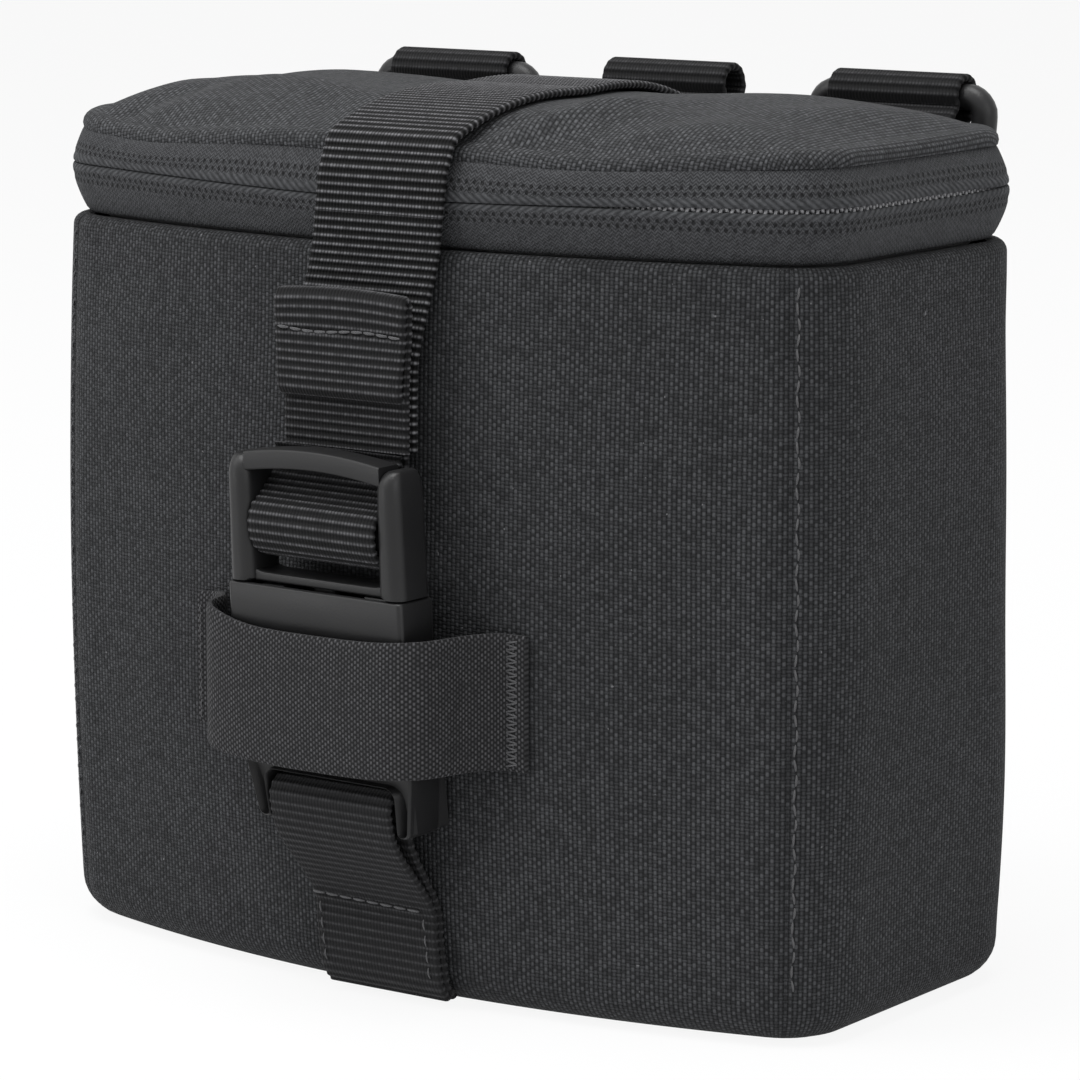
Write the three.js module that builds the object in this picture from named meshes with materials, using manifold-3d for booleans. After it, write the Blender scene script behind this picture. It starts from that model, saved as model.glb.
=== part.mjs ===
// A padded binocular pouch of black woven nylon: a box with a domed lid that unzips on three sides,
// a webbing strap over the lid with a side-release buckle, webbing loops with D-rings behind the lid,
// and two modular straps on the back.
// Millimetres. +Z is up, the front faces -Y, and the origin is on the base under the middle of the box.
import * as THREE from "three";
import { mergeVertices } from "three/addons/utils/BufferGeometryUtils.js";
import Module from "manifold-3d";

// Box
const WIDTH = 158;
const DEPTH = 78;
const FRONT_RADIUS = 250;
const FRONT_CORNER = 16;
const REAR_CORNER = 15;
const RIM_HEIGHT = 124;
const BASE_ROUND = 6.5;
const RIM_ROUND = 2;
const FRONT_SWELL = 2;
const SIDE_SWELL = 1.2;
const SEAM_ANGLE = 37;

// Layers of the walls
const FABRIC = 1.2;
const FOAM = 5;
const LINING = 0.8;
const GAP = 0.3;
const BASE_LIFT = 0.2;

// Zipped band between box and lid
const BAND_HEIGHT = 14.5;
const CREASE_DEPTH = 2.4;
const BAND_SWELL = 2.8;
const TAPE = 0.9;
const SLIT = 1;
const COIL_PITCH = 1.85;
const COIL_WIDTH = 2.6;
const COIL_THICKNESS = 1.6;
const COIL_GAP = 0.45;
const TOOTH_DEPTH = 0.9;

// Lid
const LID_EDGE = 1;
const LID_RISE = 6;
const LID_DIP = 1.2;
const LID_INSET = 2.4;
const LID_FOAM_INSET = 6;
const LID_FOAM_LIFT = 3.2;
const LID_PLAY = 0.1;

// Webbing and the closure strap
const WEBBING_WIDTH = 25.4;
const WEBBING = 1.4;
const TAIL_LENGTH = 16.4;
const TAIL_FOLD = 1.5;
const TAIL_REACH = 9;
const FOLD_LIFT = 2.9;
const THREAD_LIFT = 0.5;

// Side-release buckle
const BUCKLE_ARM = 4.7;
const BUCKLE_WIDTH = WEBBING_WIDTH + 2 * BUCKLE_ARM;
const BUCKLE_THICKNESS = 8.8;
const BUCKLE_STANDOFF = 4.5;
const BUCKLE_Z = 68.8;
const MALE_HEIGHT = 21.4;
const MALE_WINDOW_WIDTH = WEBBING_WIDTH + 1.2;
const MALE_WINDOW_HEIGHT = 16.4;
const MALE_CROSS = 1.6;
const ADJUSTER_RADIUS = 2.6;
const ADJUSTER_LIFT = 8.8;
const COLLAR_HEIGHT = 7.5;
const SOCKET_STEP = 1.4;
const SOCKET_WALL = 0.9;
const SOCKET_WIDTH = BUCKLE_WIDTH - 2 * SOCKET_STEP;
const SOCKET_DEPTH = 23.8;
const POCKET_WIDTH = SOCKET_WIDTH - 2 * SOCKET_WALL;
const POCKET_THICKNESS = 6.2;
const FORK_STEP = 0.6;
const FORK_LEG = 3.9;
const FORK_WIDTH = BUCKLE_WIDTH - 2 * FORK_STEP;
const FORK_GAP = FORK_WIDTH - 2 * FORK_LEG;
const FORK_SHOULDER = 9;
const FORK_LENGTH = 38.5;
const FORK_BAR_RADIUS = 2;
const FORK_BAR_DROP = 34.6;
const PRONG_LENGTH = 21.5;
const PRONG_CLEARANCE = 0.4;
const PRONG_STEM = 4.6;
const PRONG_STEP = 2.1;
const PRONG_NECK = 9;
const PRONG_TAPER = 7;
const PRONG_POINT = 1.8;
const PRONG_DEPTH = 5.2;

// Elastic keeper
const KEEPER_HEIGHT = 22;
const KEEPER_Z = 41;
const KEEPER_THICKNESS = 1.2;
const KEEPER_FLAP_LEFT = 19;
const KEEPER_FLAP_RIGHT = 12;
const KEEPER_SEWN = 5.4;
const KEEPER_SLACK = 3;
const ANCHOR_HEIGHT = 17.5;

// Loops and D-rings behind the lid
const LOOP_MARGIN = 18;
const LOOP_BACK = 9;
const LOOP_RISE = 4.9;
const LOOP_STEM = 13;
const RING_RADIUS = 2.2;
const RING_INNER_WIDTH = WEBBING_WIDTH + 2;
const RING_DEPTH = 21;

// Webbing rows and modular straps on the back
const ROW_MARGIN = 2;
const ROW_LOW_Z = 56;
const ROW_SPACING = 38.1;
const MODULAR_SPACING = 76.2;
const MODULAR_THICKNESS = 2;
const MODULAR_LOW_Z = 14;
const MODULAR_HIGH_Z = 112;
const SNAP_RADIUS = 7.5;
const SNAP_Z = 24;

// Zipper slider and its pull
const SLIDER_Y = 17;
const SLIDER_LENGTH = 11;
const SLIDER_HEIGHT = 8;
const SLIDER_PLATE = 1.6;
const BRIDGE_SPAN = 7;
const BRIDGE_OPENING = 2.4;
const BRIDGE_BAR = 1.2;
const BRIDGE_WIDTH = 2.2;
const PULL_LENGTH = 24;
const PULL_BAR = 1.2;

// Worked out from the sizes above
const FRONT_Y = -DEPTH / 2;
const BACK_Y = DEPTH / 2;
const SEAM_Z = RIM_HEIGHT + BAND_HEIGHT;
const SPLIT_Z = RIM_HEIGHT + BAND_HEIGHT / 2;
const BUCKLE_BACK_Y = FRONT_Y - BUCKLE_STANDOFF;
const BUCKLE_FRONT_Y = BUCKLE_BACK_Y - BUCKLE_THICKNESS;
const BUCKLE_Y = (BUCKLE_BACK_Y + BUCKLE_FRONT_Y) / 2;
const MALE_Z = BUCKLE_Z + GAP;
const LOOP_Y = BACK_Y + LOOP_BACK;
const LOOP_Z = SEAM_Z + LOOP_RISE;
const LOOP_BORE = RING_RADIUS + GAP;

const wasm = await Module();
wasm.setup();

// Flips the faces of a closed body that came out inside out.
function facingOut(positions, index) {
  const corner = (i) => new THREE.Vector3().fromArray(positions, 3 * i);
  let volume = 0;
  for (let i = 0; i < index.length; i += 3) {
    volume += corner(index[i]).dot(corner(index[i + 1]).cross(corner(index[i + 2])));
  }
  if (volume < 0) index.reverse();
  const geometry = new THREE.BufferGeometry();
  geometry.setAttribute("position", new THREE.Float32BufferAttribute(positions, 3));
  geometry.setIndex(index);
  const loose = geometry.toNonIndexed();
  loose.computeVertexNormals();
  return loose;
}

// Faces between the neighbours in a row of rings, and from the last to the first if the row is closed.
function sleeve(rings, closed) {
  const size = rings[0].length;
  const index = [];
  for (let i = 0; i < rings.length - (closed ? 0 : 1); i += 1) {
    const a = i * size;
    const b = ((i + 1) % rings.length) * size;
    for (let j = 0; j < size; j += 1) {
      const k = (j + 1) % size;
      index.push(a + j, b + j, b + k, a + j, b + k, a + k);
    }
  }
  return index;
}

function flatten(points) {
  return points.flatMap((p) => [p.x, p.y, p.z]);
}

// Closed body through a row of rings, each with the same number of points in the same order.
// A closed row runs on into its first ring, and an open one is capped by its flat outline.
function loft(rings, outline) {
  const size = rings[0].length;
  const index = sleeve(rings, !outline);
  if (outline) {
    const way = Math.sign(THREE.ShapeUtils.area(outline));
    const last = (rings.length - 1) * size;
    for (const [p, q, r] of THREE.ShapeUtils.triangulateShape(outline, [])) {
      const same = Math.sign(THREE.ShapeUtils.area([outline[p], outline[q], outline[r]])) === way;
      const [u, v] = same ? [q, r] : [r, q];
      index.push(p, u, v, last + p, last + v, last + u);
    }
  }
  return facingOut(flatten(rings.flat()), index);
}

function middleOf(ring) {
  return ring.reduce((sum, p) => sum.add(p), new THREE.Vector3()).divideScalar(ring.length);
}

// Closed body through a row of rings, with a fan of faces from a middle point over each end ring.
function filled(rings, first = middleOf(rings[0]), last = middleOf(rings.at(-1))) {
  const size = rings[0].length;
  const points = [...rings.flat(), first, last];
  const index = sleeve(rings, false);
  const end = (rings.length - 1) * size;
  for (let j = 0; j < size; j += 1) {
    const k = (j + 1) % size;
    index.push(points.length - 2, j, k, points.length - 1, end + k, end + j);
  }
  return facingOut(flatten(points), index);
}

function solidOf(geometry) {
  const bare = geometry.clone();
  bare.deleteAttribute("normal");
  bare.deleteAttribute("uv");
  const merged = mergeVertices(bare, 1e-4);
  const vertProperties = merged.attributes.position.array;
  const triVerts = new Uint32Array(merged.index.array);
  return new wasm.Manifold(new wasm.Mesh({ numProp: 3, vertProperties, triVerts }));
}

function geometryOf(solid) {
  const mesh = solid.getMesh();
  const geometry = new THREE.BufferGeometry();
  geometry.setAttribute("position", new THREE.Float32BufferAttribute(mesh.vertProperties, 3));
  geometry.setIndex([...mesh.triVerts]);
  const loose = geometry.toNonIndexed();
  loose.computeVertexNormals();
  return loose;
}

function joined(...geometries) {
  return geometryOf(geometries.map(solidOf).reduce((a, b) => a.add(b)));
}

function cut(geometry, ...tools) {
  return geometryOf(tools.map(solidOf).reduce((a, b) => a.subtract(b), solidOf(geometry)));
}

// Outline in (x, z), extruded back from the plane y = front to y = back, with its edges eased by bevel.
function slabY(shape, front, back, bevel = 0) {
  const geometry = new THREE.ExtrudeGeometry(shape, {
    depth: back - front - 2 * bevel,
    bevelEnabled: bevel > 0,
    bevelThickness: bevel,
    bevelSize: bevel,
    bevelOffset: -bevel,
    bevelSegments: 2,
    curveSegments: 6,
  });
  return geometry.rotateX(Math.PI / 2).translate(0, back - bevel, 0);
}

// Outline in (y, z), extruded evenly to both sides of the plane x = middle.
function slabX(shape, middle, width, curveSegments = 8) {
  const geometry = new THREE.ExtrudeGeometry(shape, { depth: width, bevelEnabled: false, curveSegments });
  const turn = new THREE.Matrix4().set(0, 0, 1, middle - width / 2, 1, 0, 0, 0, 0, 1, 0, 0, 0, 0, 0, 1);
  return geometry.applyMatrix4(turn);
}

// Outline in (x, y), extruded up from z = low.
function slabZ(shape, low, height) {
  const options = { depth: height, bevelEnabled: false, curveSegments: 8 };
  return new THREE.ExtrudeGeometry(shape, options).translate(0, 0, low);
}

function box(low, high) {
  const size = high.map((v, i) => v - low[i]);
  const middle = high.map((v, i) => (v + low[i]) / 2);
  return new THREE.BoxGeometry(...size).translate(...middle);
}

function rodX(radius, length, y, z, sides = 14) {
  return new THREE.CylinderGeometry(radius, radius, length, sides).rotateZ(Math.PI / 2).translate(0, y, z);
}

// Outline of a flat band of even thickness along a line of points.
function ribbon(points, thickness) {
  const side = (sign) =>
    points.map((p, i) => {
      const before = points[Math.max(i - 1, 0)];
      const after = points[Math.min(i + 1, points.length - 1)];
      const first = p.clone().sub(i > 0 ? before : after).multiplyScalar(i > 0 ? 1 : -1).normalize();
      const second = after.clone().sub(i < points.length - 1 ? p : before).normalize();
      const normal = new THREE.Vector2(-first.y - second.y, first.x + second.x).normalize();
      const reach = thickness / 2 / Math.max(normal.dot(new THREE.Vector2(-first.y, first.x)), 0.5);
      return p.clone().addScaledVector(normal, sign * reach);
    });
  return new THREE.Shape([...side(1), ...side(-1).reverse()]);
}

function rounded(width, low, high, radius) {
  const shape = new THREE.Shape();
  const x = width / 2;
  shape.moveTo(-x + radius, low);
  shape.lineTo(x - radius, low);
  shape.absarc(x - radius, low + radius, radius, -Math.PI / 2, 0, false);
  shape.lineTo(x, high - radius);
  shape.absarc(x - radius, high - radius, radius, 0, Math.PI / 2, false);
  shape.lineTo(-x + radius, high);
  shape.absarc(-x + radius, high - radius, radius, Math.PI / 2, Math.PI, false);
  shape.lineTo(-x, low + radius);
  shape.absarc(-x + radius, low + radius, radius, Math.PI, 1.5 * Math.PI, false);
  return shape;
}

// The box seen from above: a bowed front, four round corners, straight sides and a straight back.
// A place on it is its distance from the middle of the front, to the right if positive.
const bowCentreY = FRONT_Y + FRONT_RADIUS;
const cornerX = WIDTH / 2 - FRONT_CORNER;
const cornerY = bowCentreY - Math.sqrt((FRONT_RADIUS - FRONT_CORNER) ** 2 - cornerX ** 2);
const bowAngle = Math.asin(cornerX / (FRONT_RADIUS - FRONT_CORNER));
const rearX = WIDTH / 2 - REAR_CORNER;
const rearY = BACK_Y - REAR_CORNER;
const LOOP_SPACING = rearX - LOOP_MARGIN;

function arc(x, y, radius, from, to, steps) {
  const at = (t) => {
    const angle = from + (to - from) * t;
    const [nx, ny] = [Math.sin(angle), -Math.cos(angle)];
    return { x: x + radius * nx, y: y + radius * ny, nx, ny };
  };
  return { length: radius * (to - from), at, steps };
}

function line(x0, y0, x1, y1, nx, ny) {
  const at = (t) => ({ x: x0 + (x1 - x0) * t, y: y0 + (y1 - y0) * t, nx, ny });
  return { length: Math.hypot(x1 - x0, y1 - y0), at, steps: 1 };
}

const RUNS = [
  arc(0, bowCentreY, FRONT_RADIUS, 0, bowAngle, 5),
  arc(cornerX, cornerY, FRONT_CORNER, bowAngle, Math.PI / 2, 5),
  line(WIDTH / 2, cornerY, WIDTH / 2, rearY, 1, 0),
  arc(rearX, rearY, REAR_CORNER, Math.PI / 2, Math.PI, 5),
  line(rearX, BACK_Y, 0, BACK_Y, 0, 1),
];
const HALF = RUNS.reduce((sum, run) => sum + run.length, 0);
const FRONT_SEAM = RUNS[0].length + FRONT_CORNER * (THREE.MathUtils.degToRad(SEAM_ANGLE) - bowAngle);
const REAR_SEAM = HALF - rearX;

function place(distance) {
  const wrapped = distance > HALF ? distance - 2 * HALF : distance;
  let left = Math.abs(wrapped);
  let i = 0;
  while (i < RUNS.length - 1 && left > RUNS[i].length) {
    left -= RUNS[i].length;
    i += 1;
  }
  const p = RUNS[i].at(Math.min(left / RUNS[i].length, 1));
  return wrapped < 0 ? { ...p, x: -p.x, nx: -p.nx } : p;
}

const KNOTS = [0];
for (const run of RUNS) {
  const start = KNOTS[KNOTS.length - 1];
  for (let i = 1; i <= run.steps; i += 1) KNOTS.push(start + (run.length * i) / run.steps);
}

// Places along the outline from one distance to another, with the knots that lie between them.
function stretch(from, to) {
  const all = [...KNOTS.map((k) => -k), ...KNOTS, ...KNOTS.map((k) => 2 * HALF - k)];
  const inside = all.filter((k) => k > from + 0.5 && k < to - 0.5).sort((a, b) => a - b);
  return [from, ...inside.filter((k, i) => i === 0 || k - inside[i - 1] > 1e-6), to];
}

const ALL_ROUND = KNOTS.slice(1, -1).map((k) => -k).reverse().concat(KNOTS);

// How far the padded walls draw in, from their fullest at half height to the rim and the base.
function swell(z, { nx, ny }) {
  const share = Math.min(Math.abs((2 * z) / RIM_HEIGHT - 1), 1);
  return share ** 2 * (FRONT_SWELL * Math.max(-ny, 0) ** 2 + SIDE_SWELL * nx ** 2);
}

function wallPoint(distance, z, inset) {
  const p = place(distance);
  const d = inset + swell(z, p);
  return new THREE.Vector3(p.x - d * p.nx, p.y - d * p.ny, z);
}

// The band leans out to its fullest at the zipper.
function bandInset(z) {
  return CREASE_DEPTH - BAND_SWELL * Math.sin((Math.PI * (z - RIM_HEIGHT)) / BAND_HEIGHT);
}

const FRONT_FACE = { nx: 0, ny: -1 };
const SIDE_FACE = { nx: 1, ny: 0 };

// The outer face of the front panel on its middle line.
function frontY(z) {
  const drop = Math.max(BASE_LIFT + BASE_ROUND - z, 0);
  const round = BASE_ROUND - Math.sqrt(Math.max(BASE_ROUND ** 2 - drop ** 2, 0));
  return FRONT_Y + swell(z, FRONT_FACE) + round;
}

// A wall between two places: its profile is a closed outline of height and inset.
function wall(profile, from, to) {
  const rings = stretch(from, to).map((s) => profile.map((p) => wallPoint(s, p.x, p.y)));
  return loft(rings, profile);
}

function heights(low, high) {
  const rows = [0.25, 0.5, 0.75].map((share) => share * RIM_HEIGHT);
  return [low, ...rows.filter((z) => z > low + 1 && z < high - 1), high];
}

function band(low, high, inset, thickness) {
  const outer = heights(low, high).map((z) => new THREE.Vector2(z, inset));
  const inner = heights(low, high).map((z) => new THREE.Vector2(z, inset + thickness));
  return [...outer, ...inner.reverse()];
}

// Profile of an outer panel: rounded under the base, upright, and rolled in at a rim if it has one.
function panelProfile(top, rimRound) {
  const angles = [0, 30, 60, 90].map(THREE.MathUtils.degToRad);
  const rows = angles.map((a) => ({
    z: BASE_LIFT + BASE_ROUND * (1 - Math.cos(a)),
    d: BASE_ROUND * (1 - Math.sin(a)),
    nz: -Math.cos(a),
    nd: -Math.sin(a),
  }));
  const upright = heights(BASE_LIFT + BASE_ROUND, top - rimRound).slice(1);
  rows.push(...upright.map((z) => ({ z, d: 0, nz: 0, nd: -1 })));
  for (const a of rimRound > 0 ? [45, 90].map(THREE.MathUtils.degToRad) : []) {
    const [nz, nd] = [Math.sin(a), -Math.cos(a)];
    rows.push({ z: top - rimRound * (1 - nz), d: rimRound * (1 + nd), nz, nd });
  }
  const outer = rows.map((r) => new THREE.Vector2(r.z, r.d));
  const inner = rows.map((r) => new THREE.Vector2(r.z - r.nz * FABRIC, r.d - r.nd * FABRIC));
  return [...outer, ...inner.reverse()];
}

// Upright walls and base of the box
function frontPanel() {
  return wall(panelProfile(RIM_HEIGHT, RIM_ROUND), -FRONT_SEAM + GAP / 2, FRONT_SEAM - GAP / 2);
}

function sidePanel(side) {
  const [from, to] = [FRONT_SEAM + GAP / 2, REAR_SEAM - GAP / 2];
  const profile = panelProfile(RIM_HEIGHT, RIM_ROUND);
  return side > 0 ? wall(profile, from, to) : wall(profile, -to, -from);
}

function backPanel() {
  return wall(panelProfile(SEAM_Z - GAP, 0), REAR_SEAM + GAP / 2, 2 * HALF - REAR_SEAM - GAP / 2);
}

// A flat plate with the outline of the box, drawn in by inset.
function plate(low, thickness, inset) {
  const level = (z) => ALL_ROUND.map((s) => wallPoint(s, low, inset).setZ(z));
  return filled([level(low), level(low + thickness)]);
}

const FOAM_INSET = FABRIC + GAP;
const LINING_INSET = FOAM_INSET + FOAM + GAP;
const BASE_INSET = BASE_ROUND + GAP;
const FLOOR_FOAM_Z = FABRIC + GAP;
const FLOOR_Z = FLOOR_FOAM_Z + FOAM + GAP;
const FOAM_TOP = RIM_HEIGHT - RIM_ROUND - FABRIC;

function foamWall(from, to) {
  return wall(band(FLOOR_Z + GAP, FOAM_TOP, FOAM_INSET, FOAM), from, to);
}

function foamSide(side) {
  const [from, to] = [FRONT_SEAM + GAP / 2, REAR_SEAM - GAP / 2];
  return side > 0 ? foamWall(from, to) : foamWall(-to, -from);
}

// The lining is a cup: down its outer face, up its inner face, with a floor.
function lining() {
  const level = (z, inset) => ALL_ROUND.map((s) => wallPoint(s, z, inset));
  const rows = heights(FLOOR_Z, FOAM_TOP);
  const outer = rows.map((z) => level(z, LINING_INSET));
  const inner = heights(FLOOR_Z + LINING, FOAM_TOP).map((z) => level(z, LINING_INSET + LINING));
  return filled([...outer, ...inner.reverse()]);
}

// Zipper: two tapes with a slit between them, and behind the slit two coils whose teeth mesh.
function tape(low, high) {
  const rows = [0, 0.5, 1].map((share) => low + (high - low) * share);
  const outer = rows.map((z) => new THREE.Vector2(z, bandInset(z)));
  const inner = rows.map((z) => new THREE.Vector2(z, bandInset(z) + TAPE));
  return wall([...outer, ...inner.reverse()], -REAR_SEAM + GAP / 2, REAR_SEAM - GAP / 2);
}

function coil(side) {
  const reach = REAR_SEAM - GAP / 2;
  const count = Math.floor((2 * reach) / COIL_PITCH);
  const rings = [];
  for (let i = 0; i <= 2 * count; i += 1) {
    const s = -reach + (i * reach) / count;
    const tooth = (i % 2 === 0 ? 1 : -1) * (TOOTH_DEPTH / 2);
    const near = SPLIT_Z + tooth + (side * GAP) / 2;
    const far = SPLIT_Z + side * COIL_WIDTH;
    const at = (z, depth) => wallPoint(s, z, bandInset(z) + TAPE + COIL_GAP + depth);
    rings.push([at(near, 0), at(far, 0), at(near, COIL_THICKNESS)]);
  }
  const outline = [[0, 0], [1, 0], [0, 1]].map(([x, y]) => new THREE.Vector2(x, y));
  return loft(rings, outline);
}

// Lid. Its height grows from the edge to a ridge along the middle, and dips under the strap.
const SPINE = cornerX / 2;
const LID_SHARES = [0.06, 0.18, 0.36, 0.62, 0.94];
const STRAP_EDGE = HALF - WEBBING_WIDTH / 2;
const LID_ROUND = [...ALL_ROUND, STRAP_EDGE, -STRAP_EDGE].sort((a, b) => a - b);

function lidPoint(distance, share, inset, drop) {
  const edge = wallPoint(distance, SEAM_Z, LID_INSET + inset);
  const spine = new THREE.Vector3(THREE.MathUtils.clamp(edge.x, -SPINE, SPINE), 0, 0);
  const p = edge.lerp(spine, share);
  return p.setZ(lidZ(p.x, share) - drop);
}

function lidZ(x, share) {
  const rise = LID_RISE * (1 - (1 - share) ** 2);
  const dip = LID_DIP * Math.exp(-((x / WEBBING_WIDTH) ** 4)) * share;
  return SEAM_Z + LID_EDGE + rise - dip;
}

function lidRing(share, inset, drop) {
  return LID_ROUND.map((s) => lidPoint(s, share, inset, drop));
}

function lidEdge(z, inset) {
  return LID_ROUND.map((s) => wallPoint(s, SEAM_Z, inset).setZ(z));
}

function lidCrown(drop) {
  return new THREE.Vector3(0, 0, lidZ(0, LID_SHARES.at(-1)) - drop);
}

function lidPanel() {
  const outer = LID_SHARES.map((share) => lidRing(share, 0, 0));
  const inner = LID_SHARES.map((share) => lidRing(share, FABRIC, FABRIC));
  const foot = SEAM_Z + GAP / 2;
  const rim = [
    lidEdge(foot, LID_INSET + FABRIC),
    lidEdge(foot, LID_INSET),
    lidEdge(SEAM_Z + LID_EDGE, LID_INSET),
  ];
  return filled([...inner.reverse(), ...rim, ...outer], lidCrown(FABRIC), lidCrown(0));
}

function lidFoam() {
  const low = SPLIT_Z + LID_FOAM_LIFT;
  const inset = LID_FOAM_INSET - LID_INSET;
  const foot = lidEdge(low, LID_FOAM_INSET);
  const layers = [0, ...LID_SHARES].map((share) => lidRing(share, inset, 2 * FABRIC));
  return filled([foot, ...layers], middleOf(foot), lidCrown(2 * FABRIC));
}

function lidLining() {
  const low = SPLIT_Z + LID_FOAM_LIFT - GAP - LINING;
  return filled([lidEdge(low, LID_FOAM_INSET), lidEdge(low + LINING, LID_FOAM_INSET)]);
}

// Closure strap, as lines in (y, z) through the middle of its thickness.
const CLEAR = GAP + WEBBING / 2;
const RIM_FRONT_Y = FRONT_Y + FRONT_SWELL;
const EDGE_FRONT_Y = RIM_FRONT_Y + LID_INSET;
const EDGE_TOP_Z = SEAM_Z + LID_EDGE;
const FOLD_Y = RIM_FRONT_Y + bandInset(SPLIT_Z) - CLEAR;
const FOLD_Z = SPLIT_Z + FOLD_LIFT;
const DROP_Y = BUCKLE_BACK_Y + GAP + WEBBING / 2;
const STRAP_END_Z = MALE_Z + MALE_HEIGHT + THREAD_LIFT;

// The strap lies on the lid from its rear root to the front edge, and turns down over the zipper.
function strapTop() {
  const rearEdge = BACK_Y - LID_INSET;
  const rise = CLEAR / Math.cos(Math.atan2(2 * LID_RISE, rearEdge)) + LID_PLAY;
  const over = (edge, share) => new THREE.Vector2(edge * (1 - share), lidZ(0, share) + rise);
  const points = [
    new THREE.Vector2(rearEdge - 1, EDGE_TOP_Z + CLEAR + LID_PLAY),
    ...LID_SHARES.map((share) => over(rearEdge, share)),
    ...LID_SHARES.toReversed().map((share) => over(EDGE_FRONT_Y, share)),
  ];
  points.push(new THREE.Vector2(EDGE_FRONT_Y - 1.1, EDGE_TOP_Z + 0.6));
  points.push(new THREE.Vector2(FOLD_Y, FOLD_Z + 1.8));
  points.push(new THREE.Vector2(FOLD_Y, FOLD_Z + GAP / 2));
  return slabX(ribbon(points, WEBBING), 0, WEBBING_WIDTH);
}

function strapDrop() {
  const points = [
    new THREE.Vector2(FOLD_Y, FOLD_Z - GAP / 2),
    new THREE.Vector2(FOLD_Y, SPLIT_Z - 1),
    new THREE.Vector2(DROP_Y, STRAP_END_Z + TAIL_REACH),
    new THREE.Vector2(DROP_Y, STRAP_END_Z),
  ];
  return slabX(ribbon(points, WEBBING), 0, WEBBING_WIDTH);
}

// A ring of webbing round a bar, as an outline in (y, z).
function roll(y, z, bore) {
  const shape = new THREE.Shape();
  shape.absarc(y, z, bore + WEBBING, 0, 2 * Math.PI, false);
  const hole = new THREE.Path();
  hole.absarc(y, z, bore, 0, 2 * Math.PI, true);
  shape.holes.push(hole);
  return shape;
}

const ADJUSTER_Z = MALE_Z + ADJUSTER_LIFT;
const FREE_END_Y = DROP_Y - WEBBING - GAP;

// The strap where it is threaded: a roll over the adjuster bar, and two layers behind the top bar.
function webbingRoll() {
  const ring = slabX(roll(BUCKLE_Y, ADJUSTER_Z, ADJUSTER_RADIUS + GAP), 0, WEBBING_WIDTH, 10);
  const layers = box(
    [-WEBBING_WIDTH / 2, FREE_END_Y - WEBBING / 2, ADJUSTER_Z],
    [WEBBING_WIDTH / 2, DROP_Y + WEBBING / 2, STRAP_END_Z - GAP],
  );
  const bore = rodX(ADJUSTER_RADIUS + GAP, 2 * WEBBING_WIDTH, BUCKLE_Y, ADJUSTER_Z, 20);
  return cut(joined(ring, layers), bore);
}

// The strap's free end: up from behind the top bar in front of the strap, and folded on itself.
function strapTail() {
  const foldZ = MALE_Z + MALE_HEIGHT + TAIL_REACH;
  const [front, back] = [FREE_END_Y - WEBBING / 2, FREE_END_Y + WEBBING / 2];
  const up = box([-WEBBING_WIDTH / 2, front, STRAP_END_Z], [WEBBING_WIDTH / 2, back, foldZ + TAIL_LENGTH]);
  const fold = box(
    [-WEBBING_WIDTH / 2, front - TAIL_FOLD, foldZ],
    [WEBBING_WIDTH / 2, front + WEBBING / 2, foldZ + TAIL_LENGTH],
  );
  return joined(up, fold);
}

// Buckle frame that the strap threads: two arms, an arched top bar, the adjuster bar and a cross piece.
function buckleMale() {
  const top = MALE_Z + MALE_HEIGHT;
  const half = BUCKLE_WIDTH / 2;
  const arms = new THREE.Shape();
  arms.moveTo(-half, MALE_Z);
  arms.lineTo(half, MALE_Z);
  arms.lineTo(half, top - 6);
  arms.quadraticCurveTo(half, top - 1.5, half - 5.5, top - 0.8);
  arms.quadraticCurveTo(0, top + 0.8, -half + 5.5, top - 0.8);
  arms.quadraticCurveTo(-half, top - 1.5, -half, top - 6);
  arms.closePath();
  const frame = slabY(arms, BUCKLE_FRONT_Y, BUCKLE_BACK_Y, 1.8);
  const low = MALE_Z + MALE_CROSS;
  const opening = rounded(MALE_WINDOW_WIDTH, low, low + MALE_WINDOW_HEIGHT, 1.5);
  const window = slabY(opening, BUCKLE_FRONT_Y - 1, BUCKLE_BACK_Y + 1);
  const wide = MALE_WINDOW_WIDTH / 2;
  const slot = box([-wide, FREE_END_Y - WEBBING / 2 - 0.8, top - 9], [wide, BUCKLE_BACK_Y + 1, top + 2]);
  const bar = rodX(ADJUSTER_RADIUS, MALE_WINDOW_WIDTH + 2, BUCKLE_Y, ADJUSTER_Z);
  const guide = box(
    [-2.2, BUCKLE_Y - 1.5, MALE_Z - PRONG_LENGTH + PRONG_STEP],
    [2.2, BUCKLE_Y + 1.5, MALE_Z + MALE_CROSS / 2],
  );
  return joined(cut(frame, window, slot), bar, guide);
}

// One of the two spring prongs: a slim stem, a finger pad that fills the mouth, and a tapered tip.
function prong(side) {
  const high = MALE_Z - GAP;
  const low = high - PRONG_LENGTH;
  const neck = high - PRONG_NECK;
  const pad = POCKET_WIDTH / 2 - PRONG_CLEARANCE;
  const stem = pad - PRONG_STEP;
  const inner = stem - PRONG_STEM;
  const tip = pad - PRONG_TAPER / 2;
  const shape = new THREE.Shape();
  shape.moveTo(inner, high);
  shape.lineTo(stem, high);
  shape.lineTo(stem, (high + neck) / 2);
  shape.quadraticCurveTo(stem, neck + PRONG_POINT, pad, neck);
  shape.lineTo(pad, low + PRONG_TAPER);
  shape.quadraticCurveTo(pad, low + PRONG_POINT, tip, low);
  shape.lineTo(tip - PRONG_POINT, low);
  shape.quadraticCurveTo(tip - PRONG_POINT, low + PRONG_TAPER, inner, neck);
  shape.closePath();
  const geometry = slabY(shape, BUCKLE_Y - PRONG_DEPTH / 2, BUCKLE_Y + PRONG_DEPTH / 2, 0.4);
  return side > 0 ? geometry : geometryOf(solidOf(geometry).mirror([1, 0, 0]));
}

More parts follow.
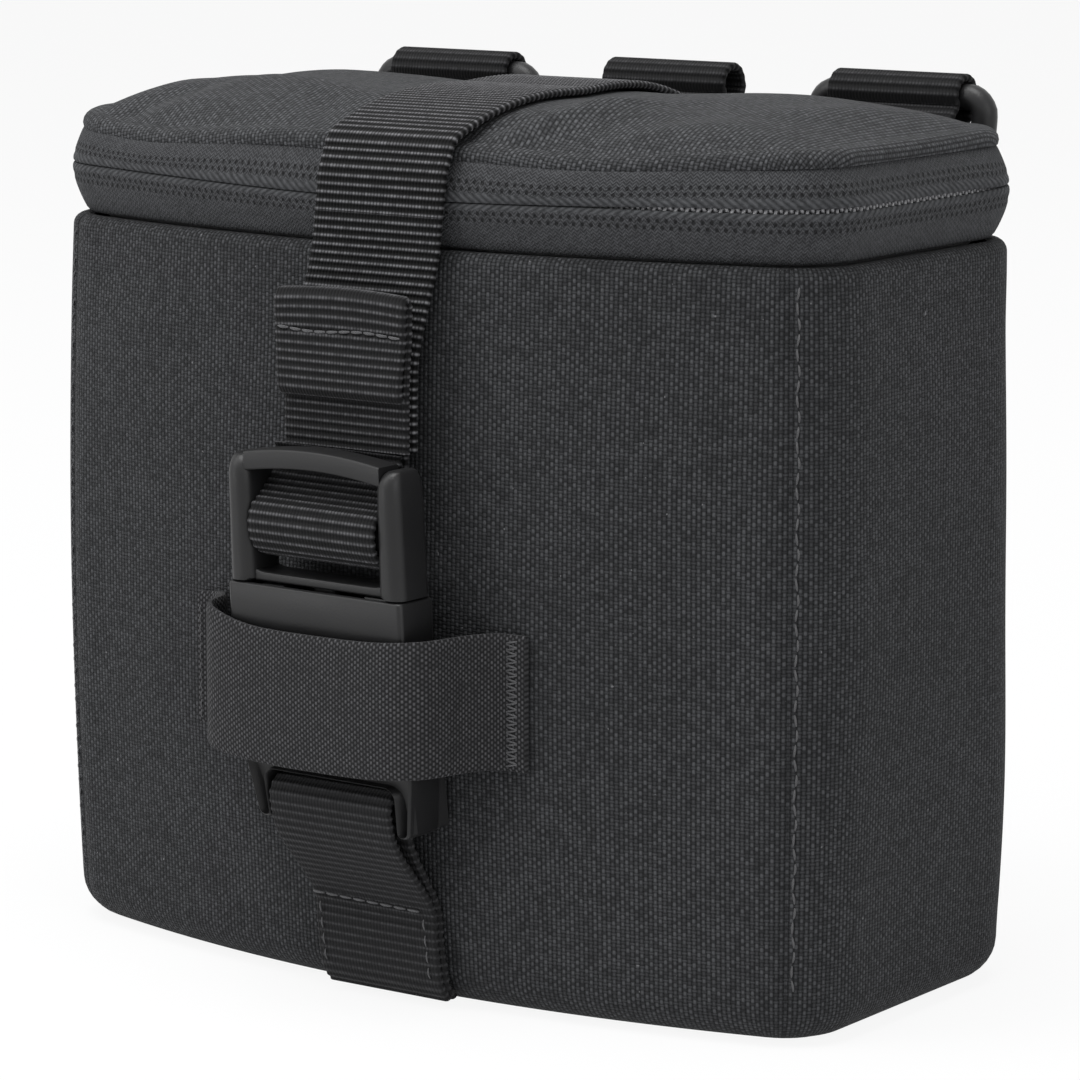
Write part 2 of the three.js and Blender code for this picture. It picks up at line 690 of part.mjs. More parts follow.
// Buckle socket: a collar, a hollow body with side windows, and a fork that holds the webbing bar.
const FORK_BAR_Y = BUCKLE_Y + 0.8;
const FORK_BAR_Z = BUCKLE_Z - FORK_BAR_DROP;

function buckleFemale() {
  const collar = BUCKLE_Z - COLLAR_HEIGHT;
  const bottom = BUCKLE_Z - FORK_LENGTH;
  const shoulder = bottom + FORK_SHOULDER;
  const [wide, body, fork, gap] = [BUCKLE_WIDTH, SOCKET_WIDTH, FORK_WIDTH, FORK_GAP].map((w) => w / 2);
  const shape = new THREE.Shape();
  shape.moveTo(-wide, BUCKLE_Z);
  shape.lineTo(-wide, collar);
  shape.lineTo(-body, collar - 1);
  shape.lineTo(-body, shoulder + 7);
  shape.quadraticCurveTo(-fork, shoulder + 4, -fork, shoulder);
  shape.lineTo(-fork, bottom + 3);
  shape.quadraticCurveTo(-fork + 0.2, bottom, -fork + 1.8, bottom);
  shape.quadraticCurveTo(-gap, bottom, -gap, bottom + 3);
  shape.lineTo(-gap, shoulder - 1);
  shape.lineTo(gap, shoulder - 1);
  shape.lineTo(gap, bottom + 3);
  shape.quadraticCurveTo(gap, bottom, fork - 1.8, bottom);
  shape.quadraticCurveTo(fork - 0.2, bottom, fork, bottom + 3);
  shape.lineTo(fork, shoulder);
  shape.quadraticCurveTo(fork, shoulder + 4, body, shoulder + 7);
  shape.lineTo(body, collar - 1);
  shape.lineTo(wide, collar);
  shape.lineTo(wide, BUCKLE_Z);
  shape.closePath();
  const body3d = slabY(shape, BUCKLE_FRONT_Y, BUCKLE_BACK_Y, 1.2);
  const [near, far] = [BUCKLE_Y - POCKET_THICKNESS / 2, BUCKLE_Y + POCKET_THICKNESS / 2];
  const pocket = box(
    [-POCKET_WIDTH / 2, near, BUCKLE_Z - SOCKET_DEPTH],
    [POCKET_WIDTH / 2, far, BUCKLE_Z + 1],
  );
  const window = (side) => {
    const x = [side * (POCKET_WIDTH / 2 - 1), side * (wide + 1)].sort((a, b) => a - b);
    return box([x[0], near, BUCKLE_Z - SOCKET_DEPTH + 4], [x[1], far, collar - 0.8]);
  };
  const bar = rodX(FORK_BAR_RADIUS, FORK_GAP + 2, FORK_BAR_Y, FORK_BAR_Z);
  return joined(cut(body3d, pocket, window(1), window(-1)), bar);
}

// The anchor webbing loops round the fork's bar and runs down to the front panel and the base.
function anchorWebbing() {
  const thickness = 2 * WEBBING;
  const offset = GAP + thickness / 2;
  const bore = FORK_BAR_RADIUS + GAP;
  const ring = slabX(roll(FORK_BAR_Y, FORK_BAR_Z, bore), 0, WEBBING_WIDTH, 10);
  const on = (z) => new THREE.Vector2(frontY(z) - offset, z);
  const start = new THREE.Vector2(FORK_BAR_Y - 0.2, FORK_BAR_Z - bore - 0.5);
  const points = [start, ...[1, 0.69, 0.4, 0.23].map((share) => on(share * ANCHOR_HEIGHT))];
  const strip = slabX(ribbon(points, thickness), 0, WEBBING_WIDTH);
  const hole = rodX(bore, 2 * WEBBING_WIDTH, FORK_BAR_Y, FORK_BAR_Z, 20);
  return cut(joined(ring, strip), hole);
}

// The elastic keeper bridges the socket, with both ends sewn flat on the bowed front.
// On the left it stands off the socket by its slack.
function elasticKeeper() {
  const bowY = (x) => bowCentreY - Math.sqrt(FRONT_RADIUS ** 2 - x ** 2) - GAP - KEEPER_THICKNESS / 2;
  const faceY = BUCKLE_FRONT_Y - GAP - KEEPER_THICKNESS / 2;
  const half = BUCKLE_WIDTH / 2;
  const run = (reach, slack) => [
    [reach, bowY(reach)],
    [reach - KEEPER_SEWN, bowY(reach - KEEPER_SEWN)],
    [half + 5 + slack, BUCKLE_BACK_Y - 1.6],
    [half + 2.8 + slack, BUCKLE_Y - 1.6],
    [half + 1.3 + slack / 2, faceY + 1.1],
    [half - 2.5, faceY - 0.5],
    [half / 3, faceY - 0.8],
  ];
  const left = run(half + KEEPER_FLAP_LEFT, KEEPER_SLACK);
  const right = run(half + KEEPER_FLAP_RIGHT, 0);
  const points = [...left.map(([x, y]) => [-x, y]), ...right.reverse()];
  const shape = ribbon(points.map(([x, y]) => new THREE.Vector2(x, y)), KEEPER_THICKNESS);
  return slabZ(shape, KEEPER_Z, KEEPER_HEIGHT);
}

// A webbing loop sewn on the back: a stem of two layers and a round eye that leans back over it.
function webbingLoop(x) {
  const stemY = BACK_Y + GAP + WEBBING;
  const low = SEAM_Z - LOOP_STEM;
  const front = [
    new THREE.Vector2(stemY, low),
    new THREE.Vector2(stemY, SEAM_Z - 1.5),
    new THREE.Vector2(BACK_Y + 3.2, SEAM_Z + 0.2),
    new THREE.Vector2(LOOP_Y - LOOP_BORE - 1.1, LOOP_Z - 2),
    new THREE.Vector2(LOOP_Y - LOOP_BORE - 0.6, LOOP_Z),
  ];
  const rear = [
    new THREE.Vector2(stemY + 0.6, SEAM_Z - 6),
    new THREE.Vector2(LOOP_Y - 2, SEAM_Z - 2.6),
    new THREE.Vector2(LOOP_Y + LOOP_BORE + 0.4, LOOP_Z - 2.2),
    new THREE.Vector2(LOOP_Y + LOOP_BORE + 0.6, LOOP_Z),
  ];
  const eye = slabX(roll(LOOP_Y, LOOP_Z, LOOP_BORE), x, WEBBING_WIDTH, 6);
  const stem = box(
    [x - WEBBING_WIDTH / 2, BACK_Y + GAP, low],
    [x + WEBBING_WIDTH / 2, BACK_Y + GAP + 2 * WEBBING, SEAM_Z - 3],
  );
  const legs = [front, rear].map((leg) => slabX(ribbon(leg, WEBBING), x, WEBBING_WIDTH));
  const bore = rodX(LOOP_BORE, 3 * WEBBING_WIDTH, LOOP_Y, LOOP_Z, 12).translate(x, 0, 0);
  return cut(joined(eye, stem, ...legs), bore);
}

// A moulded D-ring hanging from its straight bar.
function dRing(x) {
  const half = RING_INNER_WIDTH / 2 + RING_RADIUS;
  const corner = 3;
  const depth = RING_DEPTH - corner;
  const path = [];
  for (const a of [0, 30, 60, 90]) {
    const t = THREE.MathUtils.degToRad(a);
    path.push([half - corner + corner * Math.sin(t), -corner + corner * Math.cos(t)]);
  }
  for (const a of [15, 30, 45, 60, 75]) {
    const t = THREE.MathUtils.degToRad(a);
    path.push([half * Math.cos(t), -corner - depth * Math.sin(t)]);
  }
  const right = path.map(([u, v]) => new THREE.Vector2(u, v));
  const left = right.map((p) => new THREE.Vector2(-p.x, p.y)).reverse();
  const middle = [...right, new THREE.Vector2(0, -corner - depth), ...left];
  const sides = 8;
  const rings = middle.map((p, i) => {
    const before = middle[(i + middle.length - 1) % middle.length];
    const after = middle[(i + 1) % middle.length];
    const along = after.clone().sub(before).normalize();
    return Array.from({ length: sides }, (_, k) => {
      const a = (2 * Math.PI * (k + 0.5)) / sides;
      const [out, side] = [RING_RADIUS * Math.cos(a), RING_RADIUS * Math.sin(a)];
      return new THREE.Vector3(x + p.x - along.y * out, LOOP_Y + side, LOOP_Z + p.y + along.x * out);
    });
  });
  return loft(rings);
}

// Back of the pouch: rows of webbing, and two stiff straps that snap shut over them.
function backRow(z) {
  const reach = rearX - ROW_MARGIN;
  const y = BACK_Y + GAP;
  return box([-reach, y, z - WEBBING_WIDTH / 2], [reach, y + WEBBING, z + WEBBING_WIDTH / 2]);
}

const MODULAR_Y = BACK_Y + 2 * GAP + WEBBING;

function modularStrap(side) {
  const shape = rounded(WEBBING_WIDTH, MODULAR_LOW_Z, MODULAR_HIGH_Z, 3);
  const strap = slabY(shape, MODULAR_Y, MODULAR_Y + MODULAR_THICKNESS);
  return strap.translate((side * MODULAR_SPACING) / 2, 0, 0);
}

// A turned disc standing out along +Y, from a half profile of (radius, height) points.
function turned(profile, x, y, z) {
  const points = profile.map(([r, h]) => new THREE.Vector2(r, h));
  return new THREE.LatheGeometry(points, 16).translate(x, y, z);
}

function snapCap(side) {
  const r = SNAP_RADIUS;
  const profile = [[0, 0], [r, 0], [r, 0.5], [r - 1.2, 1.6], [r - 3.5, 2.1], [0, 2.2]];
  return turned(profile, (side * MODULAR_SPACING) / 2, MODULAR_Y + MODULAR_THICKNESS + GAP, SNAP_Z);
}

function snapStud(side) {
  const [low, high] = [SNAP_RADIUS - 1.5, WEBBING];
  const profile = [[0, 0], [low, 0], [low, high * 0.4], [low - 2.5, high * 0.5], [low - 3, high], [0, high]];
  return turned(profile, (side * MODULAR_SPACING) / 2, BACK_Y + GAP, SNAP_Z);
}

// Zipper slider on the left side: a tapered plate with a bridge for its pull.
const SIDE_BAND_X = -WIDTH / 2 + swell(SPLIT_Z, SIDE_FACE) + bandInset(SPLIT_Z);
const SLIDER_X = SIDE_BAND_X - GAP;
const BRIDGE_X = SLIDER_X - SLIDER_PLATE;

function slabMinusX(shape, thickness) {
  return slabX(shape, SLIDER_X - thickness / 2, thickness);
}

function zipperSlider() {
  const [long, high] = [SLIDER_LENGTH / 2, SLIDER_HEIGHT / 2];
  const outline = new THREE.Shape();
  outline.moveTo(-long, -high + 1.2);
  outline.quadraticCurveTo(-long, -high, -long + 2, -high);
  outline.lineTo(long - 2, -high + 1);
  outline.quadraticCurveTo(long, -high + 1.2, long, -high + 2.4);
  outline.lineTo(long, high - 2.4);
  outline.quadraticCurveTo(long, high - 1.2, long - 2, high - 1);
  outline.lineTo(-long + 2, high);
  outline.quadraticCurveTo(-long, high, -long, high - 1.2);
  const plate3d = slabMinusX(outline, SLIDER_PLATE).translate(0, SLIDER_Y, SPLIT_Z);
  const span = BRIDGE_SPAN / 2;
  const tall = BRIDGE_OPENING + BRIDGE_BAR;
  const arch = new THREE.Shape();
  arch.moveTo(SLIDER_Y - span, BRIDGE_X + 0.4);
  arch.lineTo(SLIDER_Y - span, BRIDGE_X - tall + 1);
  arch.lineTo(SLIDER_Y - span + 1, BRIDGE_X - tall);
  arch.lineTo(SLIDER_Y + span - 1, BRIDGE_X - tall);
  arch.lineTo(SLIDER_Y + span, BRIDGE_X - tall + 1);
  arch.lineTo(SLIDER_Y + span, BRIDGE_X + 0.4);
  arch.lineTo(SLIDER_Y + span - BRIDGE_BAR, BRIDGE_X + 0.4);
  arch.lineTo(SLIDER_Y + span - BRIDGE_BAR, BRIDGE_X - BRIDGE_OPENING);
  arch.lineTo(SLIDER_Y - span + BRIDGE_BAR, BRIDGE_X - BRIDGE_OPENING);
  arch.lineTo(SLIDER_Y - span + BRIDGE_BAR, BRIDGE_X + 0.4);
  const swap = new THREE.Matrix4().set(0, 1, 0, 0, 1, 0, 0, 0, 0, 0, -1, 0, 0, 0, 0, 1);
  const bridge = slabZ(arch, -BRIDGE_WIDTH / 2, BRIDGE_WIDTH).applyMatrix4(swap).translate(0, 0, SPLIT_Z);
  return joined(plate3d, bridge);
}

// The pull's cross bar turns in the bridge, and its window clears the bridge's foot.
const PULL_X = BRIDGE_X - BRIDGE_OPENING / 2;

function pullTab() {
  const half = SLIDER_HEIGHT / 2 - 0.6;
  const window = BRIDGE_SPAN / 2 + 1.7;
  const shape = new THREE.Shape();
  shape.moveTo(PULL_BAR / 2, -half);
  shape.lineTo(PULL_BAR / 2, half);
  shape.lineTo(-PULL_LENGTH + 3, half);
  shape.quadraticCurveTo(-PULL_LENGTH, half, -PULL_LENGTH, 0);
  shape.quadraticCurveTo(-PULL_LENGTH, -half, -PULL_LENGTH + 3, -half);
  const eye = new THREE.Path();
  const gap = BRIDGE_WIDTH / 2 + GAP;
  eye.moveTo(-PULL_BAR / 2, -gap);
  eye.lineTo(-window, -gap);
  eye.lineTo(-window, gap);
  eye.lineTo(-PULL_BAR / 2, gap);
  shape.holes.push(eye);
  return slabX(shape, PULL_X, PULL_BAR).translate(0, SLIDER_Y, SPLIT_Z);
}

// Finishes, as seen in daylight
const FINISHES = {
  fabric: { color: 0x2f2f31, roughness: 0.95 },
  lining: { color: 0x1d1e20, roughness: 0.9 },
  foam: { color: 0x3c3d40, roughness: 1 },
  webbing: { color: 0x28282a, roughness: 0.85 },
  elastic: { color: 0x2c2c2e, roughness: 0.9 },
  tape: { color: 0x2b2b2d, roughness: 0.9 },
  coil: { color: 0x1b1b1c, roughness: 0.4 },
  plastic: { color: 0x1f1f20, roughness: 0.45 },
  metal: { color: 0x17171a, roughness: 0.35, metalness: 0.8 },
};

const pouch = new THREE.Group();

function add(name, finish, geometry) {
  const mesh = new THREE.Mesh(geometry, new THREE.MeshStandardMaterial(FINISHES[finish]));
  mesh.name = name;
  pouch.add(mesh);
}

add("bottom_panel", "fabric", plate(0, FABRIC, BASE_INSET));
add("front_panel", "fabric", frontPanel());
add("left_side_panel", "fabric", sidePanel(-1));
add("right_side_panel", "fabric", sidePanel(1));
add("back_panel", "fabric", backPanel());

add("foam_bottom", "foam", plate(FLOOR_FOAM_Z, FOAM, BASE_INSET + GAP));
add("foam_front", "foam", foamWall(-FRONT_SEAM + GAP / 2, FRONT_SEAM - GAP / 2));
add("foam_left", "foam", foamSide(-1));
add("foam_right", "foam", foamSide(1));
add("foam_back", "foam", foamWall(REAR_SEAM + GAP / 2, 2 * HALF - REAR_SEAM - GAP / 2));
add("lining", "lining", lining());

add("zipper_tape_lower", "tape", tape(RIM_HEIGHT + GAP, SPLIT_Z - SLIT / 2));
add("zipper_coil_lower", "coil", coil(-1));
add("zipper_tape_upper", "tape", tape(SPLIT_Z + SLIT / 2, SEAM_Z - GAP));
add("zipper_coil_upper", "coil", coil(1));
add("zipper_slider", "metal", zipperSlider());
add("pull_tab", "metal", pullTab());

add("lid_panel", "fabric", lidPanel());
add("lid_foam", "foam", lidFoam());
add("lid_lining", "lining", lidLining());

add("closure_strap", "webbing", strapTop());
add("strap_drop", "webbing", strapDrop());
add("strap_tail", "webbing", strapTail());
add("webbing_roll", "webbing", webbingRoll());
add("buckle_male", "plastic", buckleMale());
add("buckle_prong_left", "plastic", prong(-1));
add("buckle_prong_right", "plastic", prong(1));
add("buckle_female", "plastic", buckleFemale());
add("anchor_webbing", "webbing", anchorWebbing());
add("elastic_keeper", "elastic", elasticKeeper());

add("ring_loop_left", "webbing", webbingLoop(-LOOP_SPACING));
add("centre_loop", "webbing", webbingLoop(0));
add("ring_loop_right", "webbing", webbingLoop(LOOP_SPACING));
add("d_ring_left", "plastic", dRing(-LOOP_SPACING));
add("d_ring_right", "plastic", dRing(LOOP_SPACING));

add("back_webbing_low", "webbing", backRow(ROW_LOW_Z));
add("back_webbing_high", "webbing", backRow(ROW_LOW_Z + ROW_SPACING));
for (const [word, side] of [["left", -1], ["right", 1]]) {
  add(`modular_strap_${word}`, "webbing", modularStrap(side));
  add(`snap_cap_${word}`, "metal", snapCap(side));
  add(`snap_stud_${word}`, "metal", snapStud(side));
}

export default pouch;
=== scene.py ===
"""A padded binocular pouch of black woven nylon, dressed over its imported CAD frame.

Sizes are millimetres in the frame's axes (+Z up, the front faces -Y), and a made mesh is in metres.
"""

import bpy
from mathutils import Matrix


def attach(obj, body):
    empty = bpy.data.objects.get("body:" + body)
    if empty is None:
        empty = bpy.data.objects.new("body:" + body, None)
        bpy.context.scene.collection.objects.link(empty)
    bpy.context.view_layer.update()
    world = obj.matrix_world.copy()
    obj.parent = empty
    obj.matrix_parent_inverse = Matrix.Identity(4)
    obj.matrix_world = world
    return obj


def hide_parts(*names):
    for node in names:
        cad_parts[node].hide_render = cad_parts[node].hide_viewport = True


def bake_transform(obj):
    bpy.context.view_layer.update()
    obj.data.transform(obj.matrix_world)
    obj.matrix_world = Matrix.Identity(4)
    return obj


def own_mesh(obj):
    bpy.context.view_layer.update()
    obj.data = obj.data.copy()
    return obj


bl_info = {
    "name": "Binocular Pouch",
    "version": (1, 0, 0),
    "blender": (4, 5, 0),
    "location": "View3D > Sidebar > Pouch",
    "description": "Builds a padded, zipped pouch with a webbing strap and a side-release buckle",
    "category": "Object",
}

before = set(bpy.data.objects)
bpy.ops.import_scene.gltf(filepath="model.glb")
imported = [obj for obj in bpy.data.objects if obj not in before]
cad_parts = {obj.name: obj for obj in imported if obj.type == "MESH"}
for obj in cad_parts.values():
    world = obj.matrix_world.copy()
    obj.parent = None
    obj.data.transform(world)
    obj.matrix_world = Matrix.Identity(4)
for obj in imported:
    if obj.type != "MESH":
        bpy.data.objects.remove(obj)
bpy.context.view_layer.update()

import math

import bmesh
import bpy
import numpy as np
from bpy.props import FloatProperty, FloatVectorProperty, PointerProperty
from mathutils import Matrix, Vector

MM = 0.001
TAU = 2 * math.pi
MERGE = 2e-6  # points closer than this, in metres, are one
SIDES = (("left", -1), ("right", 1))

# Box: its outline from above, its rounded edges, how far its walls draw in at base and rim, and its layers
WIDTH, DEPTH = 158.0, 78.0
FRONT_RADIUS, FRONT_CORNER, REAR_CORNER = 250.0, 16.0, 15.0
RIM_HEIGHT = 124.0
BASE_ROUND, RIM_ROUND, BASE_LIFT = 6.5, 2.0, 0.2
FRONT_SWELL, SIDE_SWELL = 2.0, 1.2
SEAM_ANGLE = math.radians(37)
FABRIC, FOAM, LINING, GAP = 1.2, 5.0, 0.8, 0.3
LINING_CLOTH, LINING_TOP = 0.4, 119.5
PANEL_STEP = 1.6

# Zipped band: it swells out between a crease at its foot and one under the lid
BAND_HEIGHT, CREASE_DEPTH, BAND_SWELL = 14.5, 2.4, 2.8
BAND_LOW = RIM_HEIGHT - 1.5
TAPE = 0.9
COIL_PITCH, COIL_REACH, COIL_DEPTH, COIL_WIRE = 1.85, 1.25, 0.46, 0.33
SEAM_Z = RIM_HEIGHT + BAND_HEIGHT
SPLIT_Z = RIM_HEIGHT + BAND_HEIGHT / 2

# Lid: its edge is a quarter ellipse, its middle so far in from the outline, and it goes so far out and up
LID_EDGE, LID_RISE, LID_DIP, LID_INSET = 1.0, 6.0, 1.2, 2.4
LID_ROUND_IN, LID_ROUND_OUT, LID_ROUND_UP = 4.1, 2.6, 2.1
LID_ROUND_Z = SEAM_Z - 0.1
LID_CLOTH = 0.7
LID_FOAM_INSET, LID_FOAM_LIFT = 6.0, 3.2

# Where the lid's front edge hangs down: (distance from the middle, half width, depth)
EDGE_DIPS = ((-54, 22, 2.3), (36, 24, 2.1), (0, 15, 0.6))

# Webbing and buckle
WEBBING_WIDTH, WEBBING = 25.4, 1.4
BUCKLE_WIDTH, BUCKLE_THICKNESS, BUCKLE_Z = 34.8, 8.8, 68.8
BUCKLE_BACK_Y = -DEPTH / 2 - 4.5
BUCKLE_FRONT_Y = BUCKLE_BACK_Y - BUCKLE_THICKNESS
BUCKLE_Y = (BUCKLE_BACK_Y + BUCKLE_FRONT_Y) / 2
MALE_Z = BUCKLE_Z + GAP
ARM_HEIGHT, ADJUSTER_RADIUS = 20.3, 2.6
ADJUSTER_Z, TOP_BAR_Z = MALE_Z + 8.8, MALE_Z + 19.2
STRAP_END_Z = MALE_Z + 21.9
DROP_Y = BUCKLE_BACK_Y + GAP + WEBBING / 2
FREE_END_Y = DROP_Y - WEBBING - GAP
FORK_BAR_Y, FORK_BAR_Z, FORK_BAR_RADIUS = BUCKLE_Y + 0.8, BUCKLE_Z - 34.6, 2.0
FORK_BOTTOM, FORK_WIDTH, FORK_GAP = BUCKLE_Z - 38.5, 33.6, 25.8
BAR_REACH = 13.5
BUCKLE_SHIFT, BUCKLE_LEAN, BUCKLE_TILT = 0.8, 0.046, 0.009
STRAP_DRIFT = 2.9
KEEPER_Z, KEEPER_HEIGHT, KEEPER_THICKNESS = 41.0, 22.0, 1.2
TAIL_LOW_Z, TAIL_SEAM_Z, TAIL_TOP_Z = MALE_Z + 30.1, 109.7, 115.4

# Loops, rings and back straps
LOOP_SPACING = 46.0
LOOP_Y, LOOP_Z, LOOP_LOW_Z = DEPTH / 2 + 9, SEAM_Z + 4.9, 125.6
RING_RADIUS, RING_INNER_WIDTH, RING_DEPTH, RING_CORNER = 2.2, 27.4, 21.0, 3.0
BACK_Y = DEPTH / 2
ROW_LOW_Z, ROW_SPACING, ROW_REACH = 56.0, 38.1, 62.0
ROW_TACKS = (-60.5, -57.15, -19.05, 19.05, 57.15, 60.5)
MODULAR_X, MODULAR_LOW_Z, MODULAR_HIGH_Z = 38.1, 14.0, 112.0
MODULAR, MODULAR_Y = 2.0, BACK_Y + 2 * GAP + WEBBING
SNAP_Z = 24.0

# Camera fitted to the photograph: degrees and millimetres, and the focal length in pixels of a 1080 frame
VIEW_AZIMUTH, VIEW_ELEVATION = 35.59, 9.76
VIEW_DISTANCE, VIEW_HEIGHT, VIEW_SHIFT = 790.65, 69.97, 4.92
VIEW_FOCAL, VIEW_FRAME, SENSOR = 4737.3, 1080, 36.0

# Lamps: name, degrees round from the front, degrees up, metres away, metres wide and watts
LAMPS = (
    ("key", -42, 40, 1.5, 0.9, 6.8),
    ("front", -36, -2, 1.5, 0.6, 4.4),
    ("fill", 70, 24, 1.7, 1.0, 4.3),
    ("top", 0, 80, 1.4, 0.9, 17.0),
)
LAMP_AIM = Vector((0, 0, 0.07))


# User settings


class PouchSizes(bpy.types.PropertyGroup):
    """Sizes of the cloth and the threads, in metres."""

    thread_across: FloatProperty(
        name="Thread across", description="Width of one thread of the shell's weave",
        default=0.00081, min=0.0003, unit="LENGTH",
    )
    thread_up: FloatProperty(
        name="Thread up", description="Height of one thread of the shell's weave",
        default=0.00060, min=0.0003, unit="LENGTH",
    )
    rib: FloatProperty(
        name="Webbing rib", description="Distance between two ribs of the webbing",
        default=0.00137, min=0.0008, unit="LENGTH",
    )
    stitch: FloatProperty(
        name="Stitch", description="Distance between two stitches",
        default=0.0026, min=0.001, unit="LENGTH",
    )
    sag: FloatProperty(
        name="Sag", description="How deep the dents of the soft walls are",
        default=0.0005, min=0.0, unit="LENGTH",
    )


class PouchColours(bpy.types.PropertyGroup):
    """Colours of the finishes."""

    shell: FloatVectorProperty(
        name="Shell", description="Thread of the shell's weave", subtype="COLOR",
        size=3, min=0, max=1, default=(0.072, 0.074, 0.078),
    )
    webbing: FloatVectorProperty(
        name="Webbing", description="Thread of the straps", subtype="COLOR",
        size=3, min=0, max=1, default=(0.045, 0.045, 0.047),
    )
    plastic: FloatVectorProperty(
        name="Plastic", description="Moulded buckle and rings", subtype="COLOR",
        size=3, min=0, max=1, default=(0.0135, 0.0135, 0.014),
    )
    metal: FloatVectorProperty(
        name="Metal", description="Slider, pull and snaps", subtype="COLOR",
        size=3, min=0, max=1, default=(0.045, 0.045, 0.048),
    )
    lining: FloatVectorProperty(
        name="Lining", description="Smooth cloth inside", subtype="COLOR",
        size=3, min=0, max=1, default=(0.030, 0.032, 0.036),
    )


def size(name):
    """One of the user's sizes, in millimetres."""
    return getattr(bpy.context.scene.pouch_sizes, name) / MM


# Shaders


class Wire:
    """A socket of a material. Python's operators on it add the Math nodes that they need."""

    def __init__(self, tree, socket):
        self.tree = tree
        self.socket = socket

    def math(self, operation, *others):
        return node(self.tree, "ShaderNodeMath", {"operation": operation}, (self, *others))

    def __add__(self, other):
        return self.math("ADD", other)

    __radd__ = __add__

    def __mul__(self, other):
        return self.math("MULTIPLY", other)

    __rmul__ = __mul__

    def __sub__(self, other):
        return self.math("SUBTRACT", other)

    def __rsub__(self, other):
        return node(self.tree, "ShaderNodeMath", {"operation": "SUBTRACT"}, (other, self))

    def __truediv__(self, other):
        return self.math("DIVIDE", other)

    def __rtruediv__(self, other):
        return node(self.tree, "ShaderNodeMath", {"operation": "DIVIDE"}, (other, self))

    def __pow__(self, other):
        return self.math("POWER", other)

    def __abs__(self):
        return self.math("ABSOLUTE")

    def cos(self):
        return self.math("COSINE")

    def floor(self):
        return self.math("FLOOR")

    def fract(self):
        return self.math("FRACT")

    def most(self, other):
        return self.math("MAXIMUM", other)

    def step(self, low, high):
        """0 below low, 1 above high and smooth between them."""
        settings = {"interpolation_type": "SMOOTHSTEP"}
        values = {"Value": self, "From Min": low, "From Max": high}
        return node(self.tree, "ShaderNodeMapRange", settings, values)


def node(tree, kind, settings=None, values=(), output=0):
    """Adds a node, sets it up, and gives its inputs numbers or links, by place or by name."""
    made = tree.nodes.new(kind)
    for key, value in (settings or {}).items():
        setattr(made, key, value)
    pairs = values.items() if isinstance(values, dict) else enumerate(values)
    for key, value in pairs:
        if isinstance(value, Wire):
            tree.links.new(value.socket, made.inputs[key])
        else:
            made.inputs[key].default_value = value
    return Wire(tree, made.outputs[output])


def mixed(factor, a, b):
    """The colour a where factor is 0 and b where it is 1."""
    first, second = (c if isinstance(c, Wire) else (*c, 1.0) for c in (a, b))
    # a Mix node has sockets for every type: 0, 6 and 7 are the factor and the colours, and 2 the colour out
    return node(factor.tree, "ShaderNodeMix", {"data_type": "RGBA"}, {0: factor, 6: first, 7: second}, 2)


def scaled(colour, factor):
    """A colour, brighter or darker."""
    return tuple(c * factor for c in colour)


def position(tree):
    """Object coordinates, in metres."""
    return node(tree, "ShaderNodeTexCoord", None, (), "Object")


def uv(tree):
    """The piece's own millimetres: (across, along)."""
    own = node(tree, "ShaderNodeUVMap", {"uv_map": "UVMap"})
    return tuple(node(tree, "ShaderNodeSeparateXYZ", None, (own,), axis) for axis in "XY")


def noise(tree, scale, detail=2.0):
    """Cloudy noise in Object coordinates, with scale clouds to a metre."""
    values = {"Vector": position(tree), "Scale": scale, "Detail": detail}
    return node(tree, "ShaderNodeTexNoise", None, values)


def scatter(tree, a, b):
    """A number from 0 to 1 that differs from each whole (a, b) to the next."""
    pair = node(tree, "ShaderNodeCombineXYZ", None, (a, b, 0.0))
    return node(tree, "ShaderNodeTexWhiteNoise", {"noise_dimensions": "2D"}, {"Vector": pair})


def bump(height, distance, strength, under=None):
    """A normal tilted by a height in metres of distance, over another bump if there is one under it."""
    values = {"Strength": strength, "Distance": distance, "Height": height}
    if under:
        values["Normal"] = under
    return node(height.tree, "ShaderNodeBump", None, values)


def material(name, build, *colours):
    """A Principled material whose sockets take what build returns: numbers are set and wires linked."""
    made = bpy.data.materials.new(name)
    made.use_nodes = True
    shader = made.node_tree.nodes["Principled BSDF"]
    for key, value in build(made.node_tree, *colours).items():
        if isinstance(value, Wire):
            made.node_tree.links.new(value.socket, shader.inputs[key])
        else:
            shader.inputs[key].default_value = value
    return made


def matt_cloth(colour, roughness, sheen, normal):
    """Sockets of a cloth that hardly shines."""
    return {
        "Base Color": colour,
        "Roughness": roughness,
        "Specular IOR Level": 0.08,
        "Sheen Weight": sheen,
        "Normal": normal,
    }


def dash(run, reach, aside, half):
    """A dash in the middle of each whole of run: (1 - (t/reach)^2)(1 - (aside/half)^2).

    t is 0 in the middle and 1 at both ends of the whole.
    """
    t = abs(run.fract() - 0.5) * 2
    return (1 - (t / reach) ** 2).most(0.0) * (1 - (abs(aside) / half) ** 2).most(0.0)


def weave(tree, across, up, gap, colour):
    """Plain weave in cells of across by up: a tall dash of warp in every other cell, of weft in the rest.

    Gives the threads' height and their colour with painted light: a painted highlight on the dashes and
    painted shade between the threads, gap times as bright there.
    """
    u, v = uv(tree)
    a, b = u / across, v / up
    column, row = a.floor(), b.floor()
    up_run = b * 0.5 + column * 0.5 + 0.25
    side_run = a * 0.5 + row * 0.5 + 0.75
    warp = dash(up_run, 0.78, a - column - 0.5, 0.44)
    weft = dash(side_run, 0.66, b - row - 0.5, 0.40)
    fade = noise(tree, 26.0, 3.0)
    # painted light: each thread's top is lit in the colour and the gaps between threads are painted in
    # shade, with a random tone for each thread
    bright = warp * (0.5 + scatter(tree, column, up_run.floor()) * 0.75)
    dim = weft * (0.25 + scatter(tree, side_run.floor(), row) * 0.5)
    light = bright.most(dim) * (0.76 + fade * 0.48)
    return warp.most(weft * 0.7), mixed(light, scaled(colour, gap), colour)


